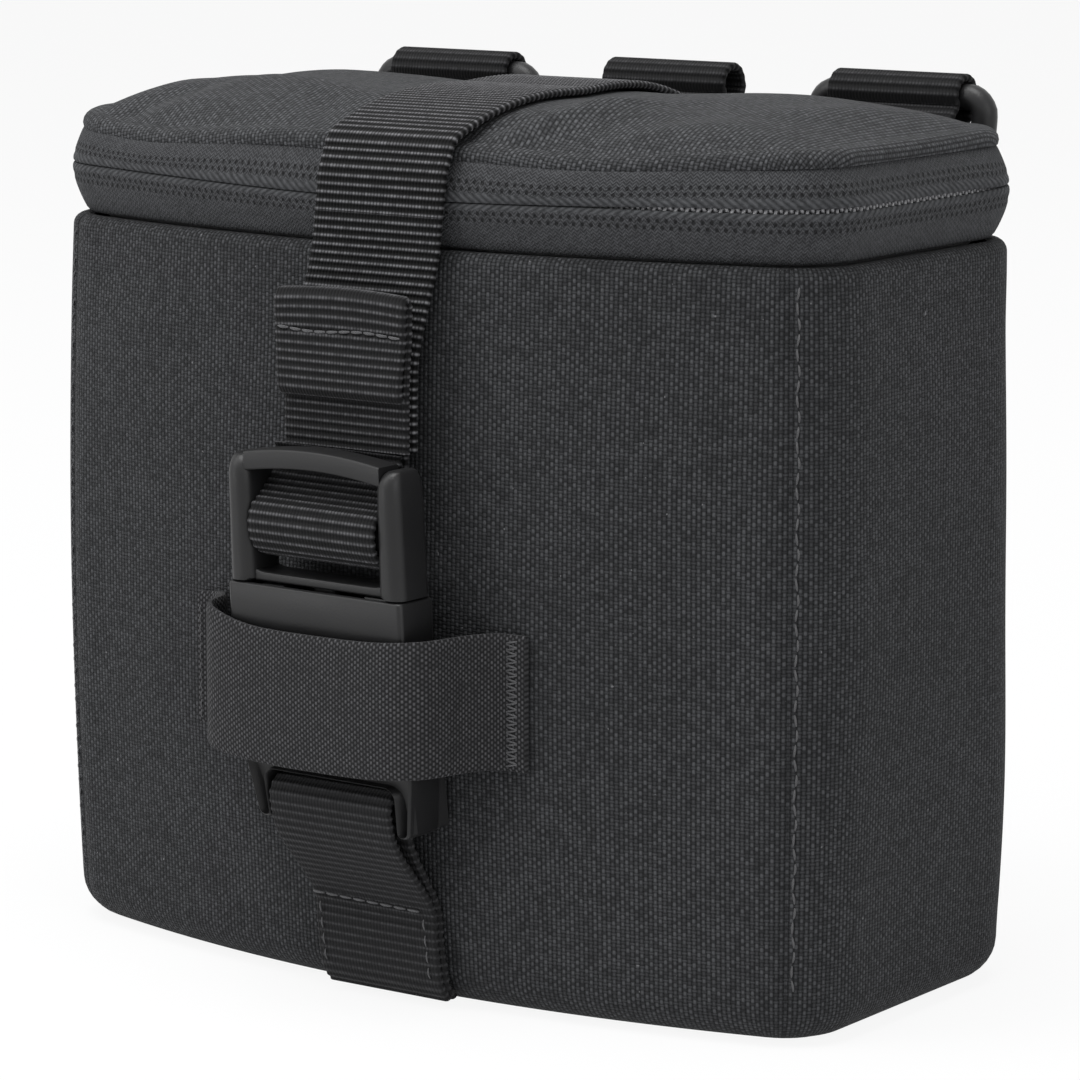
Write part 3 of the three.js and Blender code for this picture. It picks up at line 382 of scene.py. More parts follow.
def woven_nylon(tree, colour):
    """The shell's plain weave, with a few specks of pale lint and a soft unevenness."""
    height, shade = weave(tree, size("thread_across"), size("thread_up"), 0.11, colour)
    specks = noise(tree, 900.0, 1.0).step(0.79, 0.83)
    soft = bump(noise(tree, 60.0), 0.0012, 0.35)
    linted = mixed(specks * 0.35, shade, (0.35, 0.35, 0.36))
    return matt_cloth(linted, 0.78, 0.03, bump(height, 0.00022, 0.9, soft))


def ribbed_webbing(tree, ground, crest, loose=None):
    """Webbing: a dotted crest of warp threads on each rib, lit by a painted highlight, over a ground
    darkened by painted shade.

    loose is a lighter ground for the first stretch, where the webbing lies slack.
    """
    u, v = uv(tree)
    row = v / size("rib")
    rise = (row * TAU).cos() * 0.5 + 0.5
    line = u / 0.63
    column, rib = line.floor(), (row + 0.5).floor()
    warp = 1 - (abs(line - column - 0.5) * 2) ** 2
    # painted highlight on each rib's top and painted shade in the valleys between, over a random tone for
    # each thread
    light = rise ** 4 * (0.15 + warp * 0.85) * (0.62 + scatter(tree, column, rib) * 0.66)
    low = ground
    if loose:
        grid = mixed(warp * (0.4 + rise * 0.6), ground, loose)
        low = mixed(v.step(62.0, 80.0), grid, ground)
    relief = rise * 0.8 + warp * 0.5 + noise(tree, 900.0) * 0.2
    return matt_cloth(mixed(light, low, crest), 0.72, 0.02, bump(relief, 0.00025, 0.9))


def knitted_tape(tree, colour):
    """Zipper tape: slanted ribs by the slit, two rows of knit holes, then chevrons to the sewn edge."""
    u, v = uv(tree)
    far = abs(v)
    slant = (u * 0.62 + far * 0.9).fract() - 0.5
    ribs = 1 - abs(slant) * 2
    pitch = 1.5

    def holes_in_row(middle, shift):
        aside = ((u / pitch + shift).fract() - 0.5) * pitch
        gap = aside * aside + (far - middle) * (far - middle) * 0.8
        return 1 - gap.step(0.02, 0.17)

    holes = holes_in_row(2.0, 0.0).most(holes_in_row(3.1, 0.5))
    zig = abs((u / 1.1).fract() - 0.5) * 1.1
    chevron = ((far + zig) / 0.62).fract()
    knit = 1 - abs(chevron - 0.5) * 2
    near = 1 - far.step(1.1, 1.6)
    height = ribs * near + knit * (1 - near)
    thread = scatter(tree, (u / 0.55).floor(), (v / 0.5).floor())
    light = (0.3 + height * 0.7) * (0.7 + thread * 0.5) * (1 - holes * 0.85)
    shade = mixed(light, scaled(colour, 0.13), scaled(colour, 1.08))
    return matt_cloth(shade, 0.78, 0.03, bump(height * 0.6 - holes, 0.0003, 0.9))


def twill_elastic(tree, colour):
    """Woven elastic: short upright dashes that step up by half a row from each column to the next."""
    u, v = uv(tree)
    a = u / 0.58
    column = a.floor()
    run = v / 0.86 + column * 0.5
    mark = dash(run, 0.74, a - column - 0.5, 0.42)
    light = mark * (0.55 + scatter(tree, column, run.floor()) * 0.7)
    shade = mixed(light, scaled(colour, 0.34), scaled(colour, 2.0))
    return matt_cloth(shade, 0.75, 0.03, bump(mark, 0.00018, 0.8))


def moulded_plastic(tree, colour):
    """Satin plastic: fine spark grain, with a faint mottle in colour and gloss."""
    grain = noise(tree, 2600.0, 3.0)
    mottle = noise(tree, 90.0, 4.0)
    return {
        "Base Color": mixed(mottle, scaled(colour, 0.8), scaled(colour, 1.25)),
        "Roughness": 0.32 + mottle * 0.14,
        "Specular IOR Level": 0.28,
        "Normal": bump(grain, 0.00006, 0.35),
    }


def black_metal(tree, colour):
    """Blackened metal: fine grain, with bare spots where it is rubbed."""
    grain = noise(tree, 1400.0, 4.0)
    rubbed = noise(tree, 180.0, 5.0).step(0.62, 0.78)
    return {
        "Base Color": mixed(rubbed * 0.5, colour, (0.16, 0.16, 0.165)),
        "Metallic": 0.85,
        "Roughness": 0.34 + grain * 0.18,
        "Normal": bump(grain, 0.00004, 0.4),
    }


def coil_nylon(tree, colour):
    """Drawn nylon wire of the coils, streaked, with a painted glint on the right, where the slit gapes."""
    streak = noise(tree, 700.0)
    # painted glint: on the right, where the slit gapes, the wire's colour is made 9 to 24 times as bright
    # as the plastic, standing in for its highlights
    glint_zone = node(tree, "ShaderNodeSeparateXYZ", None, (position(tree),)).step(0.036, 0.052)
    pale = mixed(streak, scaled(colour, 9.0), scaled(colour, 24.0))
    return {
        "Base Color": mixed(glint_zone, scaled(colour, 3.0), pale),
        "Roughness": 0.22 + streak * 0.1,
        "Specular IOR Level": 0.6,
    }


def lining_cloth(tree, colour):
    """Smooth close-woven lining with a soft sheen and faint creases."""
    height, shade = weave(tree, 0.42, 0.42, 0.55, colour)
    crease = noise(tree, 45.0, 3.0)
    return {
        "Base Color": shade,
        "Roughness": 0.52,
        "Sheen Weight": 0.2,
        "Normal": bump(height, 0.00008, 0.6, bump(crease, 0.0015, 0.4)),
    }


def cut_foam(tree):
    """Closed-cell foam, grey and finely pitted."""
    pits = noise(tree, 800.0, 3.0)
    shade = mixed(pits, (0.035, 0.036, 0.038), (0.06, 0.061, 0.064))
    return {"Base Color": shade, "Roughness": 0.95, "Normal": bump(pits, 0.0003, 0.7)}


def bonded_thread(tree, colour):
    """Sewing thread: two plies twisted round each other."""
    u, v = uv(tree)
    ply = ((u * 2.2 + v * 5.0).fract() - 0.5) * 2
    twist = 1 - ply * ply
    shade = mixed(twist, scaled(colour, 0.45), scaled(colour, 1.4))
    return {"Base Color": shade, "Roughness": 0.6, "Normal": bump(twist, 0.00006, 0.7)}


# Materials by the finish that they give, made by the first operator
FINISH = {}


# Surfaces


def xyz(x, y, z):
    """Points from coordinates that are numbers, lines or grids."""
    return np.stack(np.broadcast_arrays(x, y, z), -1)


def lattice(rows, cols, close_rows=False, close_cols=False):
    """Four-sided faces of a grid, and each corner's (row, column), counted on past a join."""
    r = np.arange(rows - (not close_rows))
    c = np.arange(cols - (not close_cols))
    row, col = np.meshgrid(r, c, indexing="ij")
    steps = ((0, 0), (1, 0), (1, 1), (0, 1))
    corners = np.stack([np.stack([row + i, col + j], -1) for i, j in steps], -2).reshape(-1, 4, 2)
    faces = (corners[..., 0] % rows) * cols + corners[..., 1] % cols
    return faces, corners


class Shape:
    """Points, faces and face-corner UVs in millimetres, gathered from several grids."""

    def __init__(self):
        self.points = []
        self.faces = []
        self.uvs = []
        self.count = 0

    def add(self, points, faces, uvs=None):
        """Takes up points, the faces between them, and a UV for each corner of each face."""
        faces = np.asarray(faces)
        self.points.append(np.asarray(points, float).reshape(-1, 3))
        self.faces.extend((faces + self.count).tolist())
        flat = np.zeros(faces.shape + (2,)) if uvs is None else np.asarray(uvs, float)
        self.uvs.append(flat.reshape(-1, 2))
        self.count += len(self.points[-1])
        return self

    def grid(self, points, u, v, close_rows=False, close_cols=False):
        """A grid of points, its UVs u by row and v by column, each one longer where the grid closes."""
        faces, corners = lattice(*points.shape[:2], close_rows, close_cols)
        uvs = np.stack([v[corners[..., 1]], u[corners[..., 0]]], -1)
        return self.add(points, faces, uvs)

    def sheet(self, rings, flat=None):
        """A grid of closed rings whose UVs are a flat pattern, or else the rings as seen from above."""
        faces = lattice(*rings.shape[:2], False, True)[0]
        flat = rings[..., :2] if flat is None else flat
        return self.add(rings, faces, flat.reshape(-1, 2)[faces])

    def hem(self, first, second, s, width):
        """The narrow edge between two rings that run once round the box."""
        return self.grid(np.stack([first, second]), np.array([0, width]), np.append(s, HALF), False, True)

    def fan(self, ring, middle=None, uvs=None):
        """Triangles from a ring of points to its middle point."""
        count = len(ring)
        k = np.arange(count)
        faces = np.stack([k, (k + 1) % count, np.full(count, count)], -1)
        corners = None if uvs is None else np.vstack([uvs, np.mean(uvs, 0)])[faces]
        return self.add(np.vstack([ring, ring.mean(0) if middle is None else middle]), faces, corners)

    def slab(self, outer, inner, u, v, closed=False):
        """A closed body between an outer and an inner grid, joined round their edges."""
        rows, cols = outer.shape[:2]
        loop = np.concatenate([outer, inner[::-1]])
        whole = np.concatenate([u, u[::-1], u[:1]])
        self.grid(loop, whole, v, True, closed)
        if closed:
            return self
        i = np.arange(rows - 1)
        faces = np.stack([i, i + 1, 2 * rows - 2 - i, 2 * rows - 1 - i], -1)
        for col in (0, cols - 1):
            self.add(loop[:, col], faces, np.stack(np.broadcast_arrays(v[col], whole[faces]), -1))
        return self


def piece(name, shape, finish, body, replaces=(), sharp=50):
    """Makes the mesh object of a shape, in metres, with its material, and lets it ride on a body.

    Edges that are bent by more than sharp degrees stay sharp.
    """
    mesh = bpy.data.meshes.new(name)
    points = np.concatenate(shape.points) * MM
    mesh.from_pydata(points.tolist(), [], shape.faces)
    layer = mesh.uv_layers.new(name="UVMap")
    layer.data.foreach_set("uv", np.concatenate(shape.uvs).ravel())
    work = bmesh.new()
    work.from_mesh(mesh)
    bmesh.ops.remove_doubles(work, verts=work.verts, dist=MERGE)
    bmesh.ops.recalc_face_normals(work, faces=work.faces)
    work.to_mesh(mesh)
    work.free()
    mesh.shade_smooth()
    mesh.set_sharp_from_angle(angle=math.radians(sharp))
    made = bpy.data.objects.new(name, mesh)
    bpy.context.scene.collection.objects.link(made)
    mesh.materials.append(FINISH[finish])
    if body:
        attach(made, body)
    if replaces:
        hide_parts(*replaces)
    return made


def finish_node(name, finish):
    """Gives a CAD node's object a better material."""
    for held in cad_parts[name].material_slots:
        held.material = FINISH[finish]


def eased(t):
    """0 below 0, 1 above 1, and t^2 (3 - 2 t) between."""
    t = np.clip(t, 0, 1)
    return t * t * (3 - 2 * t)


def bell(t, power=2):
    """1 at 0, and off to 0 on both sides: exp(-t^power)."""
    return np.exp(-(t**power))


def along(points):
    """Distance from the first point to each point of a line."""
    steps = np.linalg.norm(np.diff(points, axis=0), axis=-1)
    return np.concatenate([[0], np.cumsum(steps)])


def unit(v):
    """Vectors of length 1."""
    return v / np.maximum(np.linalg.norm(v, axis=-1, keepdims=True), 1e-9)


def curve(points, step=0.24, closed=False):
    """Smooth line through points: Catmull-Rom pieces, read again at even steps of its length."""
    p = np.asarray(points, float)
    if closed:
        p = np.vstack([p[-1:], p, p[:2]])
    else:
        p = np.vstack([2 * p[:1] - p[1:2], p, 2 * p[-1:] - p[-2:-1]])
    t = np.linspace(0, 1, 16, endpoint=False)[None, :, None]
    a, b, c, d = (p[i : len(p) - 3 + i, None, :] for i in range(4))
    line = 0.5 * (2 * b + (c - a) * t + (2 * a - 5 * b + 4 * c - d) * t**2 + (3 * b - a - 3 * c + d) * t**3)
    line = np.vstack([line.reshape(-1, p.shape[1]), p[-2:-1]])
    s = along(line)
    even = np.linspace(0, s[-1], max(int(s[-1] / step), 2) + 1)
    line = np.stack([np.interp(even, s, line[:, k]) for k in range(p.shape[1])], -1)
    return line[:-1] if closed else line


def curve_yz(points):
    """Smooth line through points (y, z) in the middle plane of the pouch."""
    y, z = np.array(points, float).T
    return curve(xyz(0.0, y, z))


def turns(count):
    """Angles that go once round in even steps."""
    return np.arange(count) * TAU / count


def spokes(side, up, count):
    """Unit vectors that turn once round, from side towards up."""
    a = turns(count)[:, None]
    return side[..., None, :] * np.cos(a) + up[..., None, :] * np.sin(a)


def rounded_box(width, height, radius):
    """Outline of a rectangle with rounded corners, round its middle."""
    r = min(radius, width / 2 - 0.01, height / 2 - 0.01)
    t = np.radians(np.linspace(0, 90, 6)) + np.arange(4)[:, None] * math.pi / 2
    x = r * np.cos(t) + np.array([[1], [-1], [-1], [1]]) * (width / 2 - r)
    y = r * np.sin(t) + np.array([[1], [1], [-1], [-1]]) * (height / 2 - r)
    return np.stack([x, y], -1).reshape(-1, 2)


def filleted(points, radii):
    """A closed outline with each corner rounded by its own radius."""
    p = np.asarray(points, float)
    line = []
    for i, r in enumerate(radii):
        a, b = unit(p[i - 1] - p[i]), unit(p[(i + 1) % len(p)] - p[i])
        half = math.acos(float(a @ b)) / 2
        middle = p[i] + unit(a + b) * r / math.sin(half)
        start, end = p[i] + a * r / math.tan(half), p[i] + b * r / math.tan(half)
        t = np.linspace(0, 1, 6)[:, None]
        line.append(middle + r * unit((start - middle) * (1 - t) + (end - middle) * t))
    return np.vstack(line)


def extruded(shape, outline, front, back, bevel):
    """A plate with an outline in (x, z), from front to back in y, its edges rounded by bevel."""
    ahead, behind = np.roll(outline, -1, 0), np.roll(outline, 1, 0)
    way = np.sign(np.sum(outline[:, 0] * ahead[:, 1] - ahead[:, 0] * outline[:, 1]))
    tangent = unit(ahead - behind)
    out = way * np.stack([tangent[:, 1], -tangent[:, 0]], -1)
    a = np.radians([90, 60, 30, 0])
    y = np.concatenate([front + bevel * (1 - np.sin(a)), back - bevel * (1 - np.sin(a[::-1]))])
    inset = bevel * (1 - np.cos(np.concatenate([a, a[::-1]])))
    flat = outline[None] - out[None] * inset[:, None, None]
    rings = xyz(flat[..., 0], y[:, None], flat[..., 1])
    count = len(outline)
    shape.grid(rings, y, np.arange(count + 1.0), False, True)
    for ring in (rings[0], rings[-1]):
        shape.add(ring, np.arange(count)[None])
    return shape


def webbing_section(width, thickness):
    """Closed outline of webbing: two flat faces and two rounded edges, as (across, through)."""
    half, r = width / 2, thickness / 2
    x = np.linspace(-(half - r), half - r, 12)
    a = np.linspace(-math.pi / 2, math.pi / 2, 6)[1:-1]
    right = np.stack([half - r + r * np.cos(a), r * np.sin(a)], -1)
    top = np.stack([x[::-1], np.full(len(x), r)], -1)
    return np.vstack([top[::-1] * (1, -1), right, top, -right])


ACROSS_X = (1.0, 0.0, 0.0)
ACROSS_Z = (0.0, 0.0, 1.0)


def webbing(
    line, across=ACROSS_X, width=WEBBING_WIDTH, thickness=WEBBING, relief=0.13, bead=0.15, start=0.0
):
    """Webbing along a line: its section is carried with the line, swells at each rib and has beaded edges.

    At length t the half thickness is h (1 - relief + relief cos(2 pi t / rib)), and the edges stand out by
    bead (1 + cos(2 pi t / rib)) / 2. start is the length of the webbing before the line.
    """
    line = np.asarray(line, float)
    across = unit(np.broadcast_to(np.asarray(across, float), line.shape))
    through = unit(np.cross(unit(np.gradient(line, axis=0)), across))
    t = along(line) + start
    wave = np.cos(TAU * t / size("rib"))[:, None]
    section = webbing_section(width - 2 * bead, thickness)
    x, h = section.T
    at_edge = np.abs(x) > (width - 2 * bead - thickness) / 2 - 0.01
    x = x + np.sign(x) * bead * (0.5 + 0.5 * wave) * at_edge
    h = h * (1 - relief + relief * wave)
    points = line[:, None] + across[:, None] * x[..., None] + through[:, None] * h[..., None]
    shape = Shape().grid(points, t, np.append(section[:, 0], section[0, 0]), False, True)
    for end in (0, -1):
        shape.fan(points[end], uvs=np.stack([section[:, 0], np.full(len(section), t[end])], -1))
    return shape


def loft(shape, rings, caps=True):
    """A closed body through rings of points, all of one size, with a fan over each end."""
    rings = np.asarray(rings, float)
    u = along(rings.mean(1))
    around = along(np.vstack([rings[0], rings[0][:1]]))
    shape.grid(rings, u, around, False, True)
    return shape.fan(rings[0]).fan(rings[-1]) if caps else shape


def rounded_rings(levels):
    """Rings of rounded boxes: each level is (z, x middle, width, y front, y back, corner radius)."""
    rings = []
    for z, x, width, front, back, radius in levels:
        ring = rounded_box(width, back - front, radius)
        rings.append(xyz(ring[:, 0] + x, ring[:, 1] + (front + back) / 2, z))
    return rings


def beam(shape, x, y, z, depth, height, radius):
    """A bar along X: its section of depth by height has its middle at (y, z), all of them by x."""
    rings = []
    for xi, yi, zi, hi in np.broadcast(x, y, z, height):
        ring = rounded_box(depth, hi, radius)
        rings.append(xyz(xi, ring[:, 0] + yi, ring[:, 1] + zi))
    return loft(shape, rings)


def rod(shape, y, z, radius):
    """A round bar along X between the buckle's two sides."""
    a = turns(24)
    ring = y + radius * np.cos(a), z + radius * np.sin(a)
    return loft(shape, [xyz(x, *ring) for x in (-BAR_REACH, BAR_REACH)])


def stitches(shape, line, normal, pitch=None, length=0.78, radius=0.24):
    """Stitches along a line: each a short bowed thread, highest at its middle, with both ends sunk.

    Each is length times the pitch long. At a share of that it rises by 1.4 radius sin(pi share), and its
    thread is radius (0.55 + 0.45 sin(pi share)) thick.
    """
    line = np.asarray(line, float)
    pitch = pitch or size("stitch")
    s = along(line)
    count = max(int(s[-1] / pitch), 1)
    start = (np.arange(count) + 0.5 - length / 2) * s[-1] / count
    share = np.linspace(0, 1, 6)
    at = start[:, None] + share[None] * length * s[-1] / count
    middle = np.stack([np.interp(at, s, line[:, k]) for k in range(3)], -1)
    normals = np.broadcast_to(np.asarray(normal, float), line.shape)
    up = unit(np.stack([np.interp(at, s, normals[:, k]) for k in range(3)], -1))
    side = unit(np.cross(unit(np.gradient(middle, axis=1)), up))
    bow = np.sin(math.pi * share)
    sunk = 0.1 - radius * 1.2
    middle = middle + up * (sunk + bow * radius * 1.4)[None, :, None]
    points = middle[:, :, None] + spokes(side, up, 6) * radius * (0.55 + 0.45 * bow)[None, :, None, None]
    faces, corners = lattice(len(share), 6, False, True)
    whole = len(share) * 6
    ends = np.array([[0, 1, 2, 3], [3, 4, 5, 0]])
    faces = np.vstack([faces, ends, ends + whole - 6])
    uvs = np.zeros((len(faces), 4, 2))
    uvs[: len(corners), :, 0] = corners[..., 0] * length * pitch / 5
    uvs[: len(corners), :, 1] = corners[..., 1] / 6
    every = faces[None] + (np.arange(count) * whole)[:, None, None]
    return shape.add(points.reshape(-1, 3), every.reshape(-1, 4), np.tile(uvs, (count, 1, 1)))


# The box seen from above

BOW_Y = -DEPTH / 2 + FRONT_RADIUS
CORNER_X = WIDTH / 2 - FRONT_CORNER
CORNER_Y = BOW_Y - math.sqrt((FRONT_RADIUS - FRONT_CORNER) ** 2 - CORNER_X**2)
BOW_ANGLE = math.asin(CORNER_X / (FRONT_RADIUS - FRONT_CORNER))
REAR_X, REAR_Y = WIDTH / 2 - REAR_CORNER, DEPTH / 2 - REAR_CORNER
ENDS = np.cumsum([
    FRONT_RADIUS * BOW_ANGLE,
    FRONT_CORNER * (math.pi / 2 - BOW_ANGLE),
    REAR_Y - CORNER_Y,
    REAR_CORNER * math.pi / 2,
    REAR_X,
])
HALF = ENDS[-1]
FRONT_SEAM = ENDS[0] + FRONT_CORNER * (SEAM_ANGLE - BOW_ANGLE)
REAR_SEAM = HALF - REAR_X
SPINE = CORNER_X / 2


def place(distance):
    """Point and outward normal on the outline, at a distance to the right from the middle of the front.

    The outline is a slow bow in front, a corner, a straight side, another corner and a straight back.
    """
    s = (np.asarray(distance, float) + HALF) % (2 * HALF) - HALF
    mirror = np.where(s < 0, -1.0, 1.0)
    s = np.abs(s)
    front = BOW_ANGLE + (s - ENDS[0]) / FRONT_CORNER
    rear = math.pi / 2 + (s - ENDS[2]) / REAR_CORNER
    zone = [s <= end for end in ENDS[:4]]
    angle = np.select(zone, [s / FRONT_RADIUS, front, math.pi / 2, rear], math.pi)
    nx, ny = np.sin(angle), -np.cos(angle)
    x = [FRONT_RADIUS * nx, CORNER_X + FRONT_CORNER * nx, WIDTH / 2, REAR_X + REAR_CORNER * nx]
    y = [BOW_Y + FRONT_RADIUS * ny, CORNER_Y + FRONT_CORNER * ny, CORNER_Y + s - ENDS[1]]
    y.append(REAR_Y + REAR_CORNER * ny)
    return mirror * np.select(zone, x, HALF - s), np.select(zone, y, DEPTH / 2), mirror * nx, ny


def all_round(count):
    """Distances that go once round the outline in even steps, from the middle of the back."""
    return np.linspace(-HALF, HALF, count + 1)[:-1]


def swell(z, nx, ny):
    """How far the wall draws in towards its base and its rim: (2 z / rim - 1)^2 of that side's swell."""
    share = np.minimum(np.abs(2 * z / RIM_HEIGHT - 1), 1)
    return share**2 * (FRONT_SWELL * np.maximum(-ny, 0) ** 2 + SIDE_SWELL * nx**2)


def wall(distance, z, inset):
    """Point on the padded wall: the outline moved in by inset and by what the wall draws in there."""
    x, y, nx, ny = place(distance)
    z = np.asarray(z, float)
    d = inset + swell(z, nx, ny)
    return xyz(x - d * nx, y - d * ny, z)


def level_ring(s, z, inset):
    """A level ring at height z, drawn in from the outline as far as the wall's foot and by inset."""
    return wall(s, 0.0, inset) + (0, 0, z)


def closed_in(ring, shares):
    """Rings that close in from a ring towards a line along X, on which share 1 lies."""
    spine = xyz(np.clip(ring[:, 0], -SPINE, SPINE), 0.0, ring[:, 2])
    return ring + (spine - ring) * np.asarray(shares)[:, None, None]


def band_inset(z):
    """How far the zipped band lies in: a crease at each edge and a half wave of swell between."""
    return CREASE_DEPTH - BAND_SWELL * np.sin(math.pi * (z - BAND_LOW) / (SEAM_Z - BAND_LOW))


def slit_dip(s):
    """How far the pull of the strap lowers the slit."""
    return 1.1 * bell(s / 46)


def edge_dip(s):
    """How far the lid's front edge hangs down, mostly on both sides of the strap."""
    return sum(depth * bell((s - middle) / half) for middle, half, depth in EDGE_DIPS)


def parted(s):
    """1 where the slit gapes round the right front corner, and 0 along the rest."""
    return eased((s - 36) / 24) * (1 - eased((s - 118) / 14))


def front_y(z):
    """The front's outer face on its middle line: it swells, and rounds in by a quarter circle below."""
    drop = np.maximum(BASE_LIFT + BASE_ROUND - z, 0)
    base = BASE_ROUND - np.sqrt(np.maximum(BASE_ROUND**2 - drop**2, 0))
    return -DEPTH / 2 + swell(z, 0.0, -1.0) + base


def dents(s, z):
    """Soft unevenness of a padded wall: three slow waves along and up the wall, together from -1 to 1."""
    return (
        0.5 * np.sin(s / 21 + 1.3) * np.sin(z / 27 + 0.4)
        + 0.3 * np.sin(s / 9.5 - z / 15 + 2.1)
        + 0.2 * np.sin(s / 13 + z / 8.5)
    )


def lid_height(x, share):
    """The dome, share of the way in from its edge: it rises by 1 - (1 - share)^3 and dips at the strap."""
    rise = LID_RISE * (1 - (1 - share) ** 3)
    return SEAM_Z + LID_EDGE + rise - LID_DIP * bell(x / WEBBING_WIDTH, 4) * share


# Folds of the lid, each (x, y, length, width, angle in degrees, height)
LID_FOLDS = (
    (27, -22, 17, 3.6, 58, 1.9),
    (22, -25, 10, 2.2, 40, -1.3),
    (36, -24, 16, 4.0, 34, -0.9),
    (-34, -12, 30, 6.5, -16, 1.2),
    (-60, -20, 14, 4.5, 48, -1.5),
    (-66, -6, 9, 5, 80, 1.0),
    (48, -10, 24, 7, -12, -0.9),
    (62, 6, 16, 5, 70, 0.9),
    (-20, -24, 10, 2.6, -46, -0.8),
    (0, 14, 40, 9, 4, -0.5),
    (-44, 20, 20, 8, 20, 0.6),
    (40, 20, 18, 7, -24, 0.5),
)


def lid_folds(x, y):
    """Height of the lid's folds: ridges exp(-(along/length)^2 - (aside/width)^2), none under the strap."""
    total = np.zeros_like(x)
    for fx, fy, length, width, angle, height in LID_FOLDS:
        c, s = math.cos(math.radians(angle)), math.sin(math.radians(angle))
        a = (x - fx) * c + (y - fy) * s
        b = (y - fy) * c - (x - fx) * s
        total += height * np.exp(-((a / length) ** 2) - (b / width) ** 2)
    return total * (1 - bell((x - 3.2) / (WEBBING_WIDTH / 2 + 1.5), 6))


# Operators


class PouchOperator:
    """What every step shares: it runs once, and undo can take it back."""

    bl_options = {"REGISTER", "UNDO"}


class POUCH_OT_finishes(PouchOperator, bpy.types.Operator):
    """Make the materials of cloth, webbing, plastic and metal"""

    bl_idname = "pouch.finishes"
    bl_label = "Finishes"

    def execute(self, context):
        colours = context.scene.pouch_colours
        shell, web, plastic = tuple(colours.shell), tuple(colours.webbing), tuple(colours.plastic)
        loose = scaled(web, 0.95)
        FINISH.update(
            shell=material("woven_nylon", woven_nylon, shell),
            # painted light: the lid's cloth is the shell's, made 1.34 times brighter for the light from
            # above on its top
            lid=material("lid_nylon_painted_top_light", woven_nylon, scaled(shell, 1.34)),
            tape=material("knitted_tape", knitted_tape, shell),
            # each webbing's ground and crest colours set how deep its painted valley shade and how bright
            # its painted crest highlight are
            strap=material("strap_webbing", ribbed_webbing, scaled(web, 0.06), scaled(web, 3.6), loose),
            tail=material("tail_webbing", ribbed_webbing, scaled(web, 0.22), scaled(web, 2.3)),
            anchor=material("anchor_webbing", ribbed_webbing, scaled(web, 0.36), scaled(web, 1.15)),
            loop=material("loop_webbing", ribbed_webbing, scaled(web, 0.24), scaled(web, 1.0)),
            elastic=material("woven_elastic", twill_elastic, web),
            plastic=material("moulded_plastic", moulded_plastic, plastic),
            metal=material("black_metal", black_metal, tuple(colours.metal)),
            coil=material("coil_plastic_painted_glint", coil_nylon, plastic),
            lining=material("lining_cloth", lining_cloth, tuple(colours.lining)),
            foam=material("cut_foam", cut_foam),
            thread=material("sewing_thread", bonded_thread, scaled(web, 1.5)),
            seam=material("seam_thread", bonded_thread, scaled(web, 1.5)),
        )
        return {"FINISHED"}


def seen_plain(tree):
    """1 for rays from the camera, from gloss and through glass, which see the background white."""
    camera, gloss, glass = (
        node(tree, "ShaderNodeLightPath", None, (), f"Is {kind} Ray")
        for kind in ("Camera", "Glossy", "Transmission")
    )
    return camera.most(gloss).most(glass)


def facing(azimuth, elevation):
    """Unit vector out from the pouch, in degrees round from the front and up."""
    a, e = math.radians(azimuth), math.radians(elevation)
    return Vector((math.sin(a) * math.cos(e), -math.cos(a) * math.cos(e), math.sin(e)))


